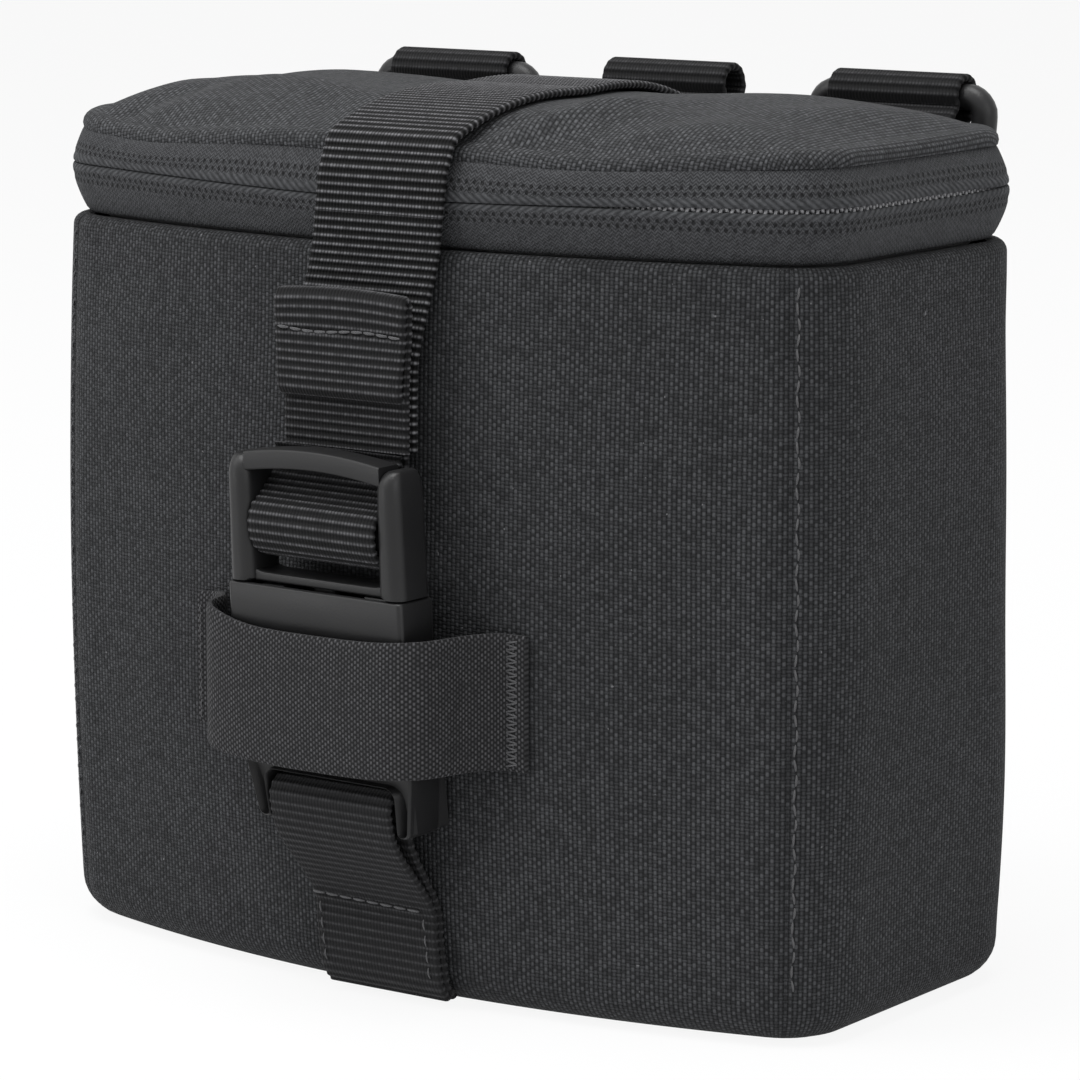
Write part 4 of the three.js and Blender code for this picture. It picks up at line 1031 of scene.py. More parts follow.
class POUCH_OT_stage(PouchOperator, bpy.types.Operator):
    """Set the pale floor, the soft lights and the camera of the photograph's view"""

    bl_idname = "pouch.stage"
    bl_label = "Stage"

    def execute(self, context):
        scene = context.scene
        scene.view_settings.view_transform = "Standard"
        world = bpy.data.worlds.new("studio")
        scene.world = world
        world.use_nodes = True
        tree = world.node_tree
        back = tree.nodes["Background"]
        colour = mixed(seen_plain(tree), (0.34, 0.34, 0.345), (1.0, 1.0, 1.0))
        tree.links.new(colour.socket, back.inputs["Color"])
        back.inputs["Strength"].default_value = 1.0
        self.floor(scene)
        for name, azimuth, elevation, distance, width, power in LAMPS:
            light = bpy.data.lights.new(name, "AREA")
            light.size = width
            light.energy = power
            lamp = bpy.data.objects.new(name, light)
            out = facing(azimuth, elevation)
            lamp.location = LAMP_AIM + out * distance
            lamp.rotation_euler = out.to_track_quat("Z", "Y").to_euler()
            scene.collection.objects.link(lamp)
        self.camera(scene)
        return {"FINISHED"}

    def floor(self, scene):
        """A wide pale floor just under the pouch, almost white, which still takes a soft shadow."""
        mesh = bpy.data.meshes.new("floor")
        reach, height = 3.0, -0.05 * MM
        corners = [(x * reach, y * reach, height) for x, y in ((-1, -1), (1, -1), (1, 1), (-1, 1))]
        mesh.from_pydata(corners, [], [(0, 1, 2, 3)])
        made = bpy.data.objects.new("floor", mesh)
        scene.collection.objects.link(made)
        ground = bpy.data.materials.new("pale_floor")
        ground.use_nodes = True
        tree = ground.node_tree
        shader = tree.nodes["Principled BSDF"]
        shader.inputs["Base Color"].default_value = (0.86, 0.86, 0.87, 1)
        shader.inputs["Roughness"].default_value = 0.9
        glow = node(tree, "ShaderNodeEmission", None, {"Color": (1, 1, 1, 1), "Strength": 1.0})
        lit = Wire(tree, shader.outputs[0])
        blend = node(tree, "ShaderNodeMixShader", None, (seen_plain(tree) * 0.9, lit, glow))
        tree.links.new(blend.socket, tree.nodes["Material Output"].inputs[0])
        mesh.materials.append(ground)

    def camera(self, scene):
        """A camera with a long lens, fitted to the photograph's view."""
        lens = bpy.data.cameras.new("view")
        lens.sensor_width = SENSOR
        lens.lens = VIEW_FOCAL / VIEW_FRAME * SENSOR
        lens.clip_start = 0.01
        made = bpy.data.objects.new("view", lens)
        out = facing(VIEW_AZIMUTH, VIEW_ELEVATION)
        right = facing(VIEW_AZIMUTH + 90, 0)
        stand = (Vector((0, 0, VIEW_HEIGHT)) + out * VIEW_DISTANCE + right * VIEW_SHIFT) * MM
        turn = Matrix((right, out.cross(right), out)).transposed()
        made.matrix_world = Matrix.Translation(stand) @ turn.to_4x4()
        scene.collection.objects.link(made)
        scene.camera = made


def panel_rows(top, rim):
    """Rows of (height, inset, outward normal in both) up a wall: base roll, upright part, rolled rim."""
    a = np.radians(np.linspace(0, 90, 9))
    z = BASE_LIFT + BASE_ROUND * (1 - np.cos(a))
    up = np.arange(BASE_LIFT + BASE_ROUND + PANEL_STEP, top - rim, PANEL_STEP)
    rows = [np.stack([z, BASE_ROUND * (1 - np.sin(a)), -np.cos(a), -np.sin(a)], -1)]
    rows.append(np.stack([up, 0 * up, 0 * up, 0 * up - 1], -1))
    if rim:
        b = np.radians(np.linspace(0, 130, 9))
        z = top - rim * (1 - np.sin(b))
        rows.append(np.stack([z, rim * (1 - np.cos(b)), np.sin(b), -np.cos(b)], -1))
    else:
        rows.append(np.array([[top, 0, 0, -1]]))
    return np.vstack(rows)


def panel(start, end, top, rim):
    """One outer panel of the box: the wall's rows from one seam to another, rolled in at both seams.

    At a distance edge from the seam the roll is 0.4 exp(-(edge/0.8)^2) deep, with a low swell beside it.
    Between the seams the wall has dents as deep as the user's sag.
    """
    near = np.array([0, 0.25, 0.6, 1.0, 1.5, 2.2])
    inside = np.arange(start + 3, end - 3, PANEL_STEP)
    s = np.concatenate([start + near, inside, end - near[::-1]])
    rows = panel_rows(top, rim)
    z, d, nz, nd = (rows[:, k, None] for k in range(4))
    edge = np.minimum(s - start, end - s)[None]
    soft = eased(edge / 14) * eased((top - z) / 16) * eased((z - 2) / 14)
    tuck = 0.4 * bell(edge / 0.8) - 0.2 * bell((edge - 4) / 3) * eased(z / 9)
    move = tuck - size("sag") * dents(s[None], z) * soft
    cloth = FABRIC * 0.8
    outer = wall(s[None], z, d + move)
    inner = wall(s[None], z - nz * cloth, d - nd * cloth + move)
    return Shape().slab(outer, inner, along(rows[:, :2]), s)


class POUCH_OT_shell(PouchOperator, bpy.types.Operator):
    """Build the outer panels, the foam and the lining of the box"""

    bl_idname = "pouch.shell"
    bl_label = "Shell"

    def execute(self, context):
        gap = 0.03
        front, rear, back = FRONT_SEAM - gap, REAR_SEAM - gap, 2 * HALF - REAR_SEAM - gap
        for name, start, end, top, rim, cad, fill in (
            ("front_cover", -front, front, BAND_LOW, RIM_ROUND, "front_panel", 0.6),
            ("left_cover", -rear, -FRONT_SEAM - gap, BAND_LOW, RIM_ROUND, "left_side_panel", 0.6),
            ("right_cover", FRONT_SEAM + gap, rear, BAND_LOW, RIM_ROUND, "right_side_panel", 0.6),
            ("back_cover", REAR_SEAM + gap, back, SEAM_Z - GAP, 0.0, "back_panel", 0.5),
        ):
            shape = panel(start, end, top, rim)
            piece(name, shape, "shell", "pouch_body", (cad,))
        piece("base_cover", self.base(), "shell", "pouch_body", ("bottom_panel",))
        foams = ("foam_bottom", "foam_front", "foam_left", "foam_right", "foam_back")
        piece("wall_foam", self.foam(), "foam", "pouch_body", foams)
        piece("lining_cup", self.lining(), "lining", "pouch_body", ("lining",))
        return {"FINISHED"}

    def base(self):
        """A flat cloth with the outline of the box, drawn in as far as the walls' roll."""
        s = all_round(180)
        low, high = (level_ring(s, z, BASE_ROUND - 0.4) for z in (0.0, FABRIC))
        shape = Shape()
        for ring in (low, high):
            rings = closed_in(ring, (0, 0.02, 0.3, 0.65, 0.94))
            shape.sheet(rings).fan(rings[-1], uvs=rings[-1][:, :2])
        return shape.hem(low, high, s, FABRIC)

    def foam(self):
        """Foam between shell and lining: a sleeve whose foot rounds in by (round - z)^2 / round."""
        s = all_round(180)
        inset = FABRIC + GAP
        z = np.linspace(2.0, 120.6, 24)[:, None]
        foot = np.maximum(BASE_ROUND - z, 0) ** 2 / BASE_ROUND
        outer = wall(s[None], z, inset + foot)
        inner = wall(s[None], z, inset + FOAM)
        return Shape().slab(outer, inner, z[:, 0], np.append(s, HALF), True)

    def lining(self):
        """A cup of thin cloth: up inside the foam, out over its top to the zipper tape, with a floor."""
        s = all_round(240)
        low = FABRIC + FOAM + 2 * GAP
        inset = low + LINING
        upright = np.linspace(low + 2.5, LINING_TOP, 40)
        z = np.concatenate([upright, LINING_TOP + np.array([1.3, 2.3, 2.9, 3.3])])[:, None]
        out = np.concatenate([0 * upright, [0.3, 1.2, 2.4, 3.6]])[:, None]
        soft = 0.35 * dents(s[None] * 1.6, z * 1.4) * eased((119 - z) / 20)
        foot = closed_in(wall(s, low, inset + 0.6), (0.94, 0.7, 0.4, 0.15, 0.04, 0.0))
        foot[..., 2] = low + LINING + np.array([0, 0, 0, 0, 0.1, 0.8])[:, None]
        inner = np.concatenate([foot, wall(s[None], z, inset - out + soft)])
        nx, ny = place(s)[2:]
        outer = inner + LINING_CLOTH * xyz(nx, ny, 0.0)
        outer[: len(foot), :, 2] -= LINING_CLOTH
        shape = Shape()
        for cup in (inner, outer):
            shape.grid(cup, along(inner[:, 0]), np.append(s, HALF), False, True)
            shape.fan(cup[0], uvs=cup[0][:, :2])
        return shape.hem(inner[-1], outer[-1], s, LINING_CLOTH)


class POUCH_OT_zipper(PouchOperator, bpy.types.Operator):
    """Build the zipper's two tapes and its two coils, and finish its slider"""

    bl_idname = "pouch.zipper"
    bl_label = "Zipper"

    def execute(self, context):
        for word, body, side in (("lower", "pouch_body", -1), ("upper", "lid", 1)):
            tape, coil = f"zipper_tape_{word}", f"zipper_coil_{word}"
            piece(f"tape_{word}", self.tape(side), "tape", body, (tape,))
            piece(f"coil_{word}", self.coil(side), "coil", body, (coil,), sharp=80)
        for name in ("zipper_slider", "pull_tab"):
            finish_node(name, "metal")
        return {"FINISHED"}

    def tape(self, side):
        """Tape from the slit to its sewn edge: it follows the band's swell, and turns in at both edges.

        The slit is 0.14 wide where it is closed and 0.54 wider where it gapes.
        """
        s = np.arange(-REAR_SEAM + GAP / 2, REAR_SEAM - GAP / 2, 0.7)[None]
        sewn = SEAM_Z - GAP - edge_dip(s) if side > 0 else BAND_LOW + GAP
        share = np.array([0, 0.02, 0.05, 0.1, 0.16, 0.24, 0.34, 0.46, 0.58, 0.7, 0.82, 0.92, 1.0])[:, None]
        slit = SPLIT_Z - slit_dip(s) + side * (0.07 + 0.27 * parted(s))
        z = slit + (sewn - slit) * share
        turn = 0.4 * np.exp(-share / 0.035) + 0.12 * bell((share - 0.24) / 0.06)
        turn += 0.4 * np.exp((share - 1) / 0.05)
        wave = 0.14 * np.sin(s / 7.0) * np.sin(math.pi * share)
        outer = wall(s, z, band_inset(z) + turn + wave)
        inner = wall(s, z, band_inset(z) + turn * 0.4 + wave + TAPE * 0.8)
        return Shape().slab(outer, inner, (z - SPLIT_Z).mean(1), s[0])

    def coil(self, side):
        """A helix of nylon wire behind the tape. The other coil is half a pitch on, so their turns mesh.

        At angle t it is 0.95 - reach cos(t) from the slit, and depth sin(t) in from its middle.
        """
        reach = REAR_SEAM - GAP
        t = np.arange(int(2 * reach / COIL_PITCH) * 10 + 1) * TAU / 10
        s = -reach + t / TAU * COIL_PITCH + (COIL_PITCH / 2 if side > 0 else 0)
        z = SPLIT_Z - slit_dip(s) + side * (0.95 - COIL_REACH * np.cos(t))
        line = wall(s, z, band_inset(z) + TAPE + 0.62 - 0.3 * parted(s) + COIL_DEPTH * np.sin(t))
        tangent = unit(np.gradient(line, axis=0))
        nx, ny = place(s)[2:]
        aside = unit(np.cross(tangent, xyz(nx, ny, 0.0)))
        return loft(Shape(), line[:, None] + COIL_WIRE * spokes(aside, np.cross(aside, tangent), 5))


class POUCH_OT_lid(PouchOperator, bpy.types.Operator):
    """Build the domed lid, its foam and its lining, and the cloth hinge at the back"""

    bl_idname = "pouch.lid"
    bl_label = "Lid"

    def execute(self, context):
        s = all_round(328)
        piece("lid_cover", self.cover(s), "lid", "lid", ("lid_panel",))
        piece("lid_pad", self.pad(s[::2]), "foam", "lid", ("lid_foam",))
        piece("lid_cloth", self.cloth(s[::2]), "lining", "lid", ("lid_lining",))
        hinge = piece("lid_hinge_tape", self.hinge(), "tape", None)
        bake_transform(hinge)
        return {"FINISHED"}

    def towards_spine(self, s, share, inset):
        """Rings that close in from the outline to a line along X, where the front half meets the back."""
        edge = wall(s, SEAM_Z, inset)
        x = np.clip(edge[:, 0], -SPINE, SPINE)
        opposite = (len(s) // 2 - np.arange(len(s))) % len(s)
        spine = xyz((x + x[opposite]) / 2, 0.0, 0.0)
        return edge[None] * (1 - share[:, None, None]) + spine[None] * share[:, None, None]

    def surface(self, s, share, inset, drop):
        """A point share of the way from the lid's edge to its spine, at the lid's height there."""
        x, y = np.moveaxis(self.towards_spine(s, share, LID_INSET + inset), -1, 0)[:2]
        share = share[:, None]
        return xyz(x, y, lid_height(x, share) + lid_folds(x, y) * eased(share / 0.14) - drop)

    def cover(self, s):
        """Outer cloth: it rounds up from the tape's sewn edge in a quarter ellipse and becomes the dome."""
        turn = np.radians([-20, 0, 20, 38, 55, 72])[:, None]
        share = np.concatenate([[0.06, 0.08], np.linspace(0.105, 1.0, 35)])
        dip = edge_dip(s)[None]
        top = self.surface(s, share, 0, 0)
        top[..., 2] -= dip * bell(share[:, None] / 0.16)

        def edge(less):
            rows = wall(s[None], SEAM_Z, LID_ROUND_IN - (LID_ROUND_OUT - less) * np.cos(turn))
            rows[..., 2] = LID_ROUND_Z - dip + (LID_ROUND_UP - less) * np.sin(turn)
            return rows

        outer = np.concatenate([edge(0.0), top])
        inner = np.concatenate([edge(LID_CLOTH), top - (0, 0, LID_CLOTH)])
        flat = outer[..., :2].copy()
        rim = len(turn)
        reach = np.cumsum(np.linalg.norm(np.diff(outer[: rim + 1], axis=0), axis=-1)[::-1], 0)[::-1]
        flat[:rim] = flat[rim] + reach[..., None] * np.stack(place(s)[2:], -1)
        return Shape().sheet(outer, flat).sheet(inner, flat).hem(outer[0], inner[0], s, 0.9)

    def pad(self, s):
        """Foam under the dome: upright sides from a flat foot, and the dome's own top."""
        share = np.concatenate([[0.0], np.linspace(0.06, 1.0, 12)])
        top = self.surface(s, share, LID_FOAM_INSET - LID_INSET, 2 * FABRIC)
        foot = top[:1].copy()
        foot[..., 2] = SPLIT_Z + LID_FOAM_LIFT
        return loft(Shape(), np.concatenate([foot, top]), caps=False).fan(foot[0])

    def cloth(self, s):
        """Lining under the lid: its edge turns up over the foam, and it sags a little between."""
        share = np.array([0.0, 0.01, 0.03, 0.08, 0.2, 0.4, 0.65, 0.85, 1.0])
        under = self.towards_spine(s, share, LID_FOAM_INSET - 0.4)
        low = SPLIT_Z + LID_FOAM_LIFT - GAP - LINING + 0.1
        turn = 2.2 * np.exp(-share / 0.012)
        sag = 0.25 * dents(under[..., 0] * 1.5, under[..., 1] * 2) * eased(share / 0.2)[:, None]
        under[..., 2] = low + turn[:, None] - sag
        upper = under + (0, 0, LINING_CLOTH)
        upper[:3, :, :2] *= 0.995
        return Shape().sheet(under).sheet(upper).hem(under[0], upper[0], s, LINING_CLOTH)

    def hinge(self):
        """The tape sewn over the joint at the back.

        It follows the lid: in by an eased step at the seam, and in by out (1 - sqrt(1 - up^2)) round the
        lid's edge.
        """
        x = np.linspace(-REAR_X + 1, REAR_X - 1, 90)
        z = np.linspace(SEAM_Z - 2.9, SEAM_Z + 1.7, 26)[:, None]
        up = np.clip((z - LID_ROUND_Z) / LID_ROUND_UP, 0, 0.9)
        y = BACK_Y + 0.15 - 1.45 * eased((z - SEAM_Z + 0.3) / 0.8)
        y -= LID_ROUND_OUT * (1 - np.sqrt(1 - up**2))
        return Shape().slab(xyz(x, y + 0.35, z), xyz(x, y, z), z[:, 0] - SEAM_Z + 9.5, x)


def strap_line():
    """The strap's middle line in (y, z): over the lid, round its front edge and down over the zipper."""
    rear = DEPTH / 2 - LID_INSET
    front = -DEPTH / 2 + FRONT_SWELL + LID_INSET
    rise = GAP + WEBBING / 2 + 0.15
    share = np.linspace(0.06, 0.99, 14)
    height = lid_height(0.0, share) + rise
    back = np.stack([rear * (1 - share), height], -1)
    fore = np.stack([front * (1 - share), height], -1)[::-1]
    root = (rear - 0.6, SEAM_Z + LID_EDGE + rise - 0.3)
    fold_y = -DEPTH / 2 + FRONT_SWELL + band_inset(SPLIT_Z) - rise
    over = (
        (front - 0.9, SEAM_Z + 1.75),
        (front - 2.4, SEAM_Z - 1.0),
        (fold_y + 0.35, SPLIT_Z + 3.4),
        (fold_y, SPLIT_Z),
        (fold_y - 0.1, SPLIT_Z - 3.2),
    )
    return np.vstack([root, back, fore[:-1], over])


def strap_lean(line):
    """The strap drifts to the right on its way up the front and back again over the lid, in eased steps."""
    y, z = line[:, 1], line[:, 2]
    at_edge = 1.2 * bell((y + 20) / 14) * eased((z - 138) / 3)
    line[:, 0] += STRAP_DRIFT * (eased((z - 101) / 38) - eased((y + 6) / 36)) + at_edge
    return line


class POUCH_OT_strap(PouchOperator, bpy.types.Operator):
    """Build the closure strap, its hanging end and its folded tail"""

    bl_idname = "pouch.strap"
    bl_label = "Strap"

    def execute(self, context):
        top = strap_lean(curve_yz(strap_line()))
        strap = piece("strap_over_lid", webbing(top), "strap", None, ("closure_strap",))
        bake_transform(strap)
        fold_y = top[-1][1]
        low = strap_lean(curve_yz([
            (fold_y, SPLIT_Z - 3.3),
            (fold_y - 0.4, 120.0),
            (DROP_Y + 0.5, STRAP_END_Z + 16),
            (DROP_Y, STRAP_END_Z + 8),
            (DROP_Y, STRAP_END_Z),
        ]))
        for name, shape, finish, cad in (
            ("strap_hanging", webbing(low, start=along(top)[-1]), "strap", ("strap_drop",)),
            ("strap_tail_fold", self.tail(), "tail", ("strap_tail",)),
            ("tail_stitches", self.seam(), "thread", ()),
        ):
            made = piece(name, shape, finish, "strap_end", cad)
            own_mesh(made)
        return {"FINISHED"}

    def tail(self):
        """The free end runs up in front of the strap, its last part folded forwards on itself and sewn.

        Its top edge bows up in the middle by 0.6 (1 - (x/13)^2), and it widens by 5.5 percent upwards.
        """
        y, low, top = FREE_END_Y, TAIL_LOW_Z, TAIL_TOP_Z
        shape = webbing(curve_yz([
            (y, STRAP_END_Z),
            (y, STRAP_END_Z + 6),
            (y - 0.05, top - 3),
            (y - 0.15, top - 0.9),
            (y - 0.8, top - 0.05),
            (y - 1.5, top - 0.9),
            (y - 1.6, top - 4),
            (y - 1.5, TAIL_SEAM_Z),
            (y - 1.85, low + 4),
            (y - 1.8, low + 1.2),
            (y - 1.3, low + 0.35),
        ]), width=WEBBING_WIDTH + 0.6, relief=0.12)
        for points in shape.points:
            points[:, 2] += 0.6 * (1 - (points[:, 0] / 13) ** 2) * eased((points[:, 2] - 106) / 8)
            points[:, 0] *= 0.955 + 0.055 * eased((points[:, 2] - low) / 14)
        return shape

    def seam(self):
        """The row of stitches that holds the tail's fold, on its front face."""
        x = np.linspace(-12.3, 12.3, 24)
        line = xyz(x, FREE_END_Y - 1.5 - WEBBING / 2, TAIL_SEAM_Z + 0.25 * np.sin(x / 3))
        return stitches(Shape(), line, (0, -1, 0), size("stitch") * 0.9, length=0.9, radius=0.26)


def leant(shape):
    """The buckle hangs a little askew: it drifts to the left on its way up, and its left side is higher."""
    for points in shape.points:
        x, z = points[:, 0].copy(), points[:, 2] - BUCKLE_Z
        points[:, 0] = x - BUCKLE_SHIFT - BUCKLE_LEAN * z
        points[:, 2] -= BUCKLE_TILT * x
    return shape


class POUCH_OT_buckle(PouchOperator, bpy.types.Operator):
    """Build the side-release buckle, with the webbing that is threaded round its bars"""

    bl_idname = "pouch.buckle"
    bl_label = "Buckle"

    def execute(self, context):
        for name, shape, body, cad in (
            ("buckle_frame_part", self.male(), "buckle_frame", "buckle_male"),
            ("buckle_socket_part", self.female(), "pouch_body", "buckle_female"),
        ):
            piece(name, leant(shape), "plastic", body, (cad,), sharp=38)
        for name in ("buckle_prong_left", "buckle_prong_right"):
            finish_node(name, "plastic")
        piece("strap_roll", leant(self.roll()), "tail", "buckle_frame", ("webbing_roll",))
        piece("anchor_strap", self.anchor(), "anchor", "pouch_body", ("anchor_webbing",))
        piece("anchor_stitches", self.seams(), "thread", "pouch_body")
        return {"FINISHED"}

    def male(self):
        """Two finger-shaped arms, an arched top bar between them, a round adjuster bar and a cross piece.

        An arm's top closes in as a quarter circle over its last 0.18. The top bar arches by
        1.2 (1 - (x/reach)^2).
        """
        shape = Shape()
        front, back = BUCKLE_FRONT_Y, BUCKLE_BACK_Y
        for side in (-1, 1):
            levels = []
            for t in np.concatenate([[0, 0.02], np.linspace(0.05, 0.85, 8), np.linspace(0.87, 1, 14)]):
                dome = math.sqrt(max(1 - max((t - 0.82) / 0.18, 0) ** 2, 0.0))
                width = (4.9 - 0.5 * t) * (0.3 + 0.7 * dome) - (0.5 if t == 0 else 0)
                middle = side * (BUCKLE_WIDTH / 2 - 0.25 * t - width / 2 - 0.9 * (1 - dome))
                near, far = front + 2.6 * (1 - dome), back - 2.2 * (1 - dome)
                levels.append((MALE_Z + ARM_HEIGHT * t, middle, width, near, far, 2.15))
            loft(shape, rounded_rings(levels))
        x = np.linspace(-13.6, 13.6, 40)
        beam(shape, x, BUCKLE_Y - 1, TOP_BAR_Z + 1.2 * (1 - (x / 13.6) ** 2), 5.2, 3.1, 0.4)
        rod(shape, BUCKLE_Y, ADJUSTER_Z, ADJUSTER_RADIUS)
        x = np.linspace(-13.8, 13.8, 49)
        tall = 1.5 + 1.5 * np.abs(x / 13.8) ** 16
        beam(shape, x, BUCKLE_Y + 0.3, MALE_Z + tall / 2, 6.4, tall, 0.4)
        guide = ((18.5, 3.0), (17.5, 4.4), (-0.5, 4.4))
        near, far = BUCKLE_Y - 1.5, BUCKLE_Y + 1.5
        return loft(shape, rounded_rings((MALE_Z - z, 0, w, near, far, 0.6) for z, w in guide))

    def female(self):
        """A collar round the mouth, two plates with open sides, and a block that ends in a fork with a bar.

        The block and its bar lean back towards the pouch by 0.12 of the way down.
        """
        shape = Shape()
        front, back = BUCKLE_FRONT_Y, BUCKLE_BACK_Y
        wide, top, low = BUCKLE_WIDTH, BUCKLE_Z, BUCKLE_Z - 7.5
        outside = [(low - 0.9, 32.8, 0.6), (low - 0.2, 34.2, 0.15), (low + 0.2, wide, 0.0)]
        lip = ((0.45, 0.0), (0.2, 0.08), (0.06, 0.22), (0.0, 0.45))
        outside += [(top - d, wide - 2 * e, e) for d, e in lip]
        mouth = [(top, 31.2, 0.9), (top - 0.35, 30.4, 1.25), (low + 0.1, 30.4, 1.25), (low, 29.4, 1.7)]
        collar = [
            (z, 0, w, front + d, back - d, radius)
            for side, radius in ((outside, 0.9), (mouth, 0.5))
            for z, w, d in side
        ]
        loft(shape, rounded_rings(collar))
        plate = filleted([(-16, 61), (-16, 48), (16, 48), (16, 61)], (0.3,) * 4)
        extruded(shape, plate, front + 0.25, front + 1.45, 0.4)
        extruded(shape, plate, back - 1.45, back - 0.25, 0.4)
        before = len(shape.points)
        out, gap, bottom = FORK_WIDTH / 2, FORK_GAP / 2, FORK_BOTTOM
        half = [(16, 49.5), (16, 45), (out, 40.5)]
        half += [(out - 1.7, bottom), (gap - 0.3, bottom), (gap, bottom + 8)]
        rounds = (0.6, 5.0, 5.0, 1.4, 1.0, 1.6)
        outline = half + [(-x, z) for x, z in half[::-1]]
        extruded(shape, filleted(outline, rounds + rounds[::-1]), front + 0.25, back - 0.25, 0.7)
        rod(shape, FORK_BAR_Y, FORK_BAR_Z, FORK_BAR_RADIUS)
        for points in shape.points[before:]:
            points[:, 1] += 0.12 * (49.5 - points[:, 2])
        return shape

    def roll(self):
        """The strap comes forwards from behind the top bar, round the adjuster bar and up behind it."""
        y, z = BUCKLE_Y, ADJUSTER_Z
        end = STRAP_END_Z - 0.25
        return webbing(curve_yz([
            (FREE_END_Y - 0.1, end),
            (FREE_END_Y - 0.5, z + 8.7),
            (y - 0.9, z + 4.9),
            (y - 3.3, z + 3.1),
            (y - 4.1, z + 0.4),
            (y - 3.2, z - 2.6),
            (y - 0.6, z - 4.1),
            (y + 2.2, z - 3.1),
            (y + 3.9, z - 0.2),
            (DROP_Y - 0.6, z + 3.6),
            (DROP_Y, z + 7.1),
            (DROP_Y, end),
        ]), relief=0.2)

    def anchor(self):
        """Webbing looped round the fork's bar, its two layers sewn to the foot of the front."""
        y, z = FORK_BAR_Y, FORK_BAR_Z
        r = FORK_BAR_RADIUS + GAP + WEBBING / 2
        heights = (17.5, 12.0, 7.0, 3.9, 1.7)
        rear = [(front_y(h) - 0.4 - WEBBING / 2, h) for h in heights]
        fore = [(front_y(h) - 0.5 - 1.5 * WEBBING, h) for h in heights[::-1]]
        turn = np.radians([-20, 20, 60, 100, 140, 185])
        over = [(y - r * math.cos(a), z + r * math.sin(a)) for a in turn]
        line = curve_yz(fore + [(y - 0.9, z - 6.5)] + over + [(y + 2.6, z - 6)] + rear)
        line[:, 0] = 0.7 + 2.2 * eased((32 - line[:, 2]) / 28)
        return webbing(line, width=WEBBING_WIDTH - 0.8, relief=0.12)

    def seams(self):
        """Stitches on the anchor: a row across it, and one down along each edge."""
        rows = Shape()
        face = 0.5 + 2 * WEBBING
        x = np.linspace(-10.2, 11.8, 22)
        z = 16.6 - 0.02 * x
        stitches(rows, xyz(x, front_y(z) - face, z), (0, -1, 0.2), length=0.85)
        for x in (-8.6, 12.4):
            z = np.linspace(15.6, 5, 20)
            line = xyz(x + (16 - z) * 0.08, front_y(z) - face, z)
            stitches(rows, line, (0, -1, 0.1), length=0.7, radius=0.16)
        return rows


class POUCH_OT_keeper(PouchOperator, bpy.types.Operator):
    """Build the elastic keeper over the buckle's socket"""

    bl_idname = "pouch.keeper"
    bl_label = "Keeper"

    def execute(self, context):
        line = curve(self.path(), 0.5)
        tangent = unit(np.gradient(line, axis=0))
        out = np.stack([tangent[:, 1], -tangent[:, 0]], -1)
        band = self.band(line, out)
        piece("keeper_band", band, "elastic", "pouch_body", ("elastic_keeper",))
        piece("keeper_stitches", self.seams(line, out), "thread", "pouch_body")
        return {"FINISHED"}

    def path(self):
        """The keeper's middle line in (x, y): flat on the front at both ends, round the socket between."""

        def bow(x):
            return x, BOW_Y - math.sqrt(FRONT_RADIUS**2 - x * x) - 0.35 - KEEPER_THICKNESS / 2

        face = BUCKLE_FRONT_Y - 0.4 - KEEPER_THICKNESS / 2
        return np.array([
            bow(-36.4),
            bow(-32.0),
            (-26.4, BUCKLE_BACK_Y + 0.2),
            (-24.7, BUCKLE_Y - 0.6),
            (-21.6, face + 1.5),
            (-15.5, face),
            (-7.0, face - 0.6),
            (0, face - 0.7),
            (7.0, face - 0.6),
            (14.8, face - 0.1),
            (18.7, face + 1.5),
            (20.7, BUCKLE_Y - 1.2),
            (22.6, BUCKLE_BACK_Y + 0.6),
            np.subtract(bow(25.6), (0, 0.1)),
            bow(30.7),
        ])

    def band(self, line, out):
        """The elastic band, upright on its line: pinched in over the socket and lifted at its left."""
        share = np.array([0, 0.02, 0.05, 0.12, 0.25, 0.4, 0.55, 0.7, 0.82, 0.9, 0.95, 0.98, 1.0])[:, None]
        edge = np.array([0.35, 0.1, 0, 0, 0, 0, 0, 0, 0, 0, 0, 0.1, 0.35])[:, None]
        z = KEEPER_Z + KEEPER_HEIGHT * share
        middle = bell(line[:, 0] / 17, 4)
        pinch = 0.35 * np.sin(math.pi * share) * middle
        lift = 1.5 * bell((line[:, 0] + 25) / 7) * share - 0.8 * middle

        def face(side):
            away = side * (KEEPER_THICKNESS / 2 - edge) + pinch
            x, y = np.moveaxis(line + out * away[..., None], -1, 0)
            return xyz(x, y, z + lift)

        return Shape().slab(face(1), face(-1), z[:, 0], along(line))

    def seams(self, line, out):
        """Two upright rows of stitches at the left end and a zigzag at the right end."""
        rows = Shape()
        t = along(line)
        for s, swing, step in ((0.7, 0.0, 1.6), (2.1, 0.0, 1.6), (t[-1] - 2.5, 1.2, 0.55)):
            x, y, nx, ny = (np.interp(s, t, column) for column in (*line.T, *out.T))
            z = np.arange(KEEPER_Z + 0.8, KEEPER_Z + KEEPER_HEIGHT - 0.8, step)
            zig = swing * (np.arange(len(z)) % 2 * 2 - 1)
            face = KEEPER_THICKNESS / 2
            row = xyz(x + nx * face - ny * zig, y + ny * face + nx * zig, z)
            stitches(rows, row, (nx, ny, 0), along(row)[1], length=0.95, radius=0.17)
        return rows


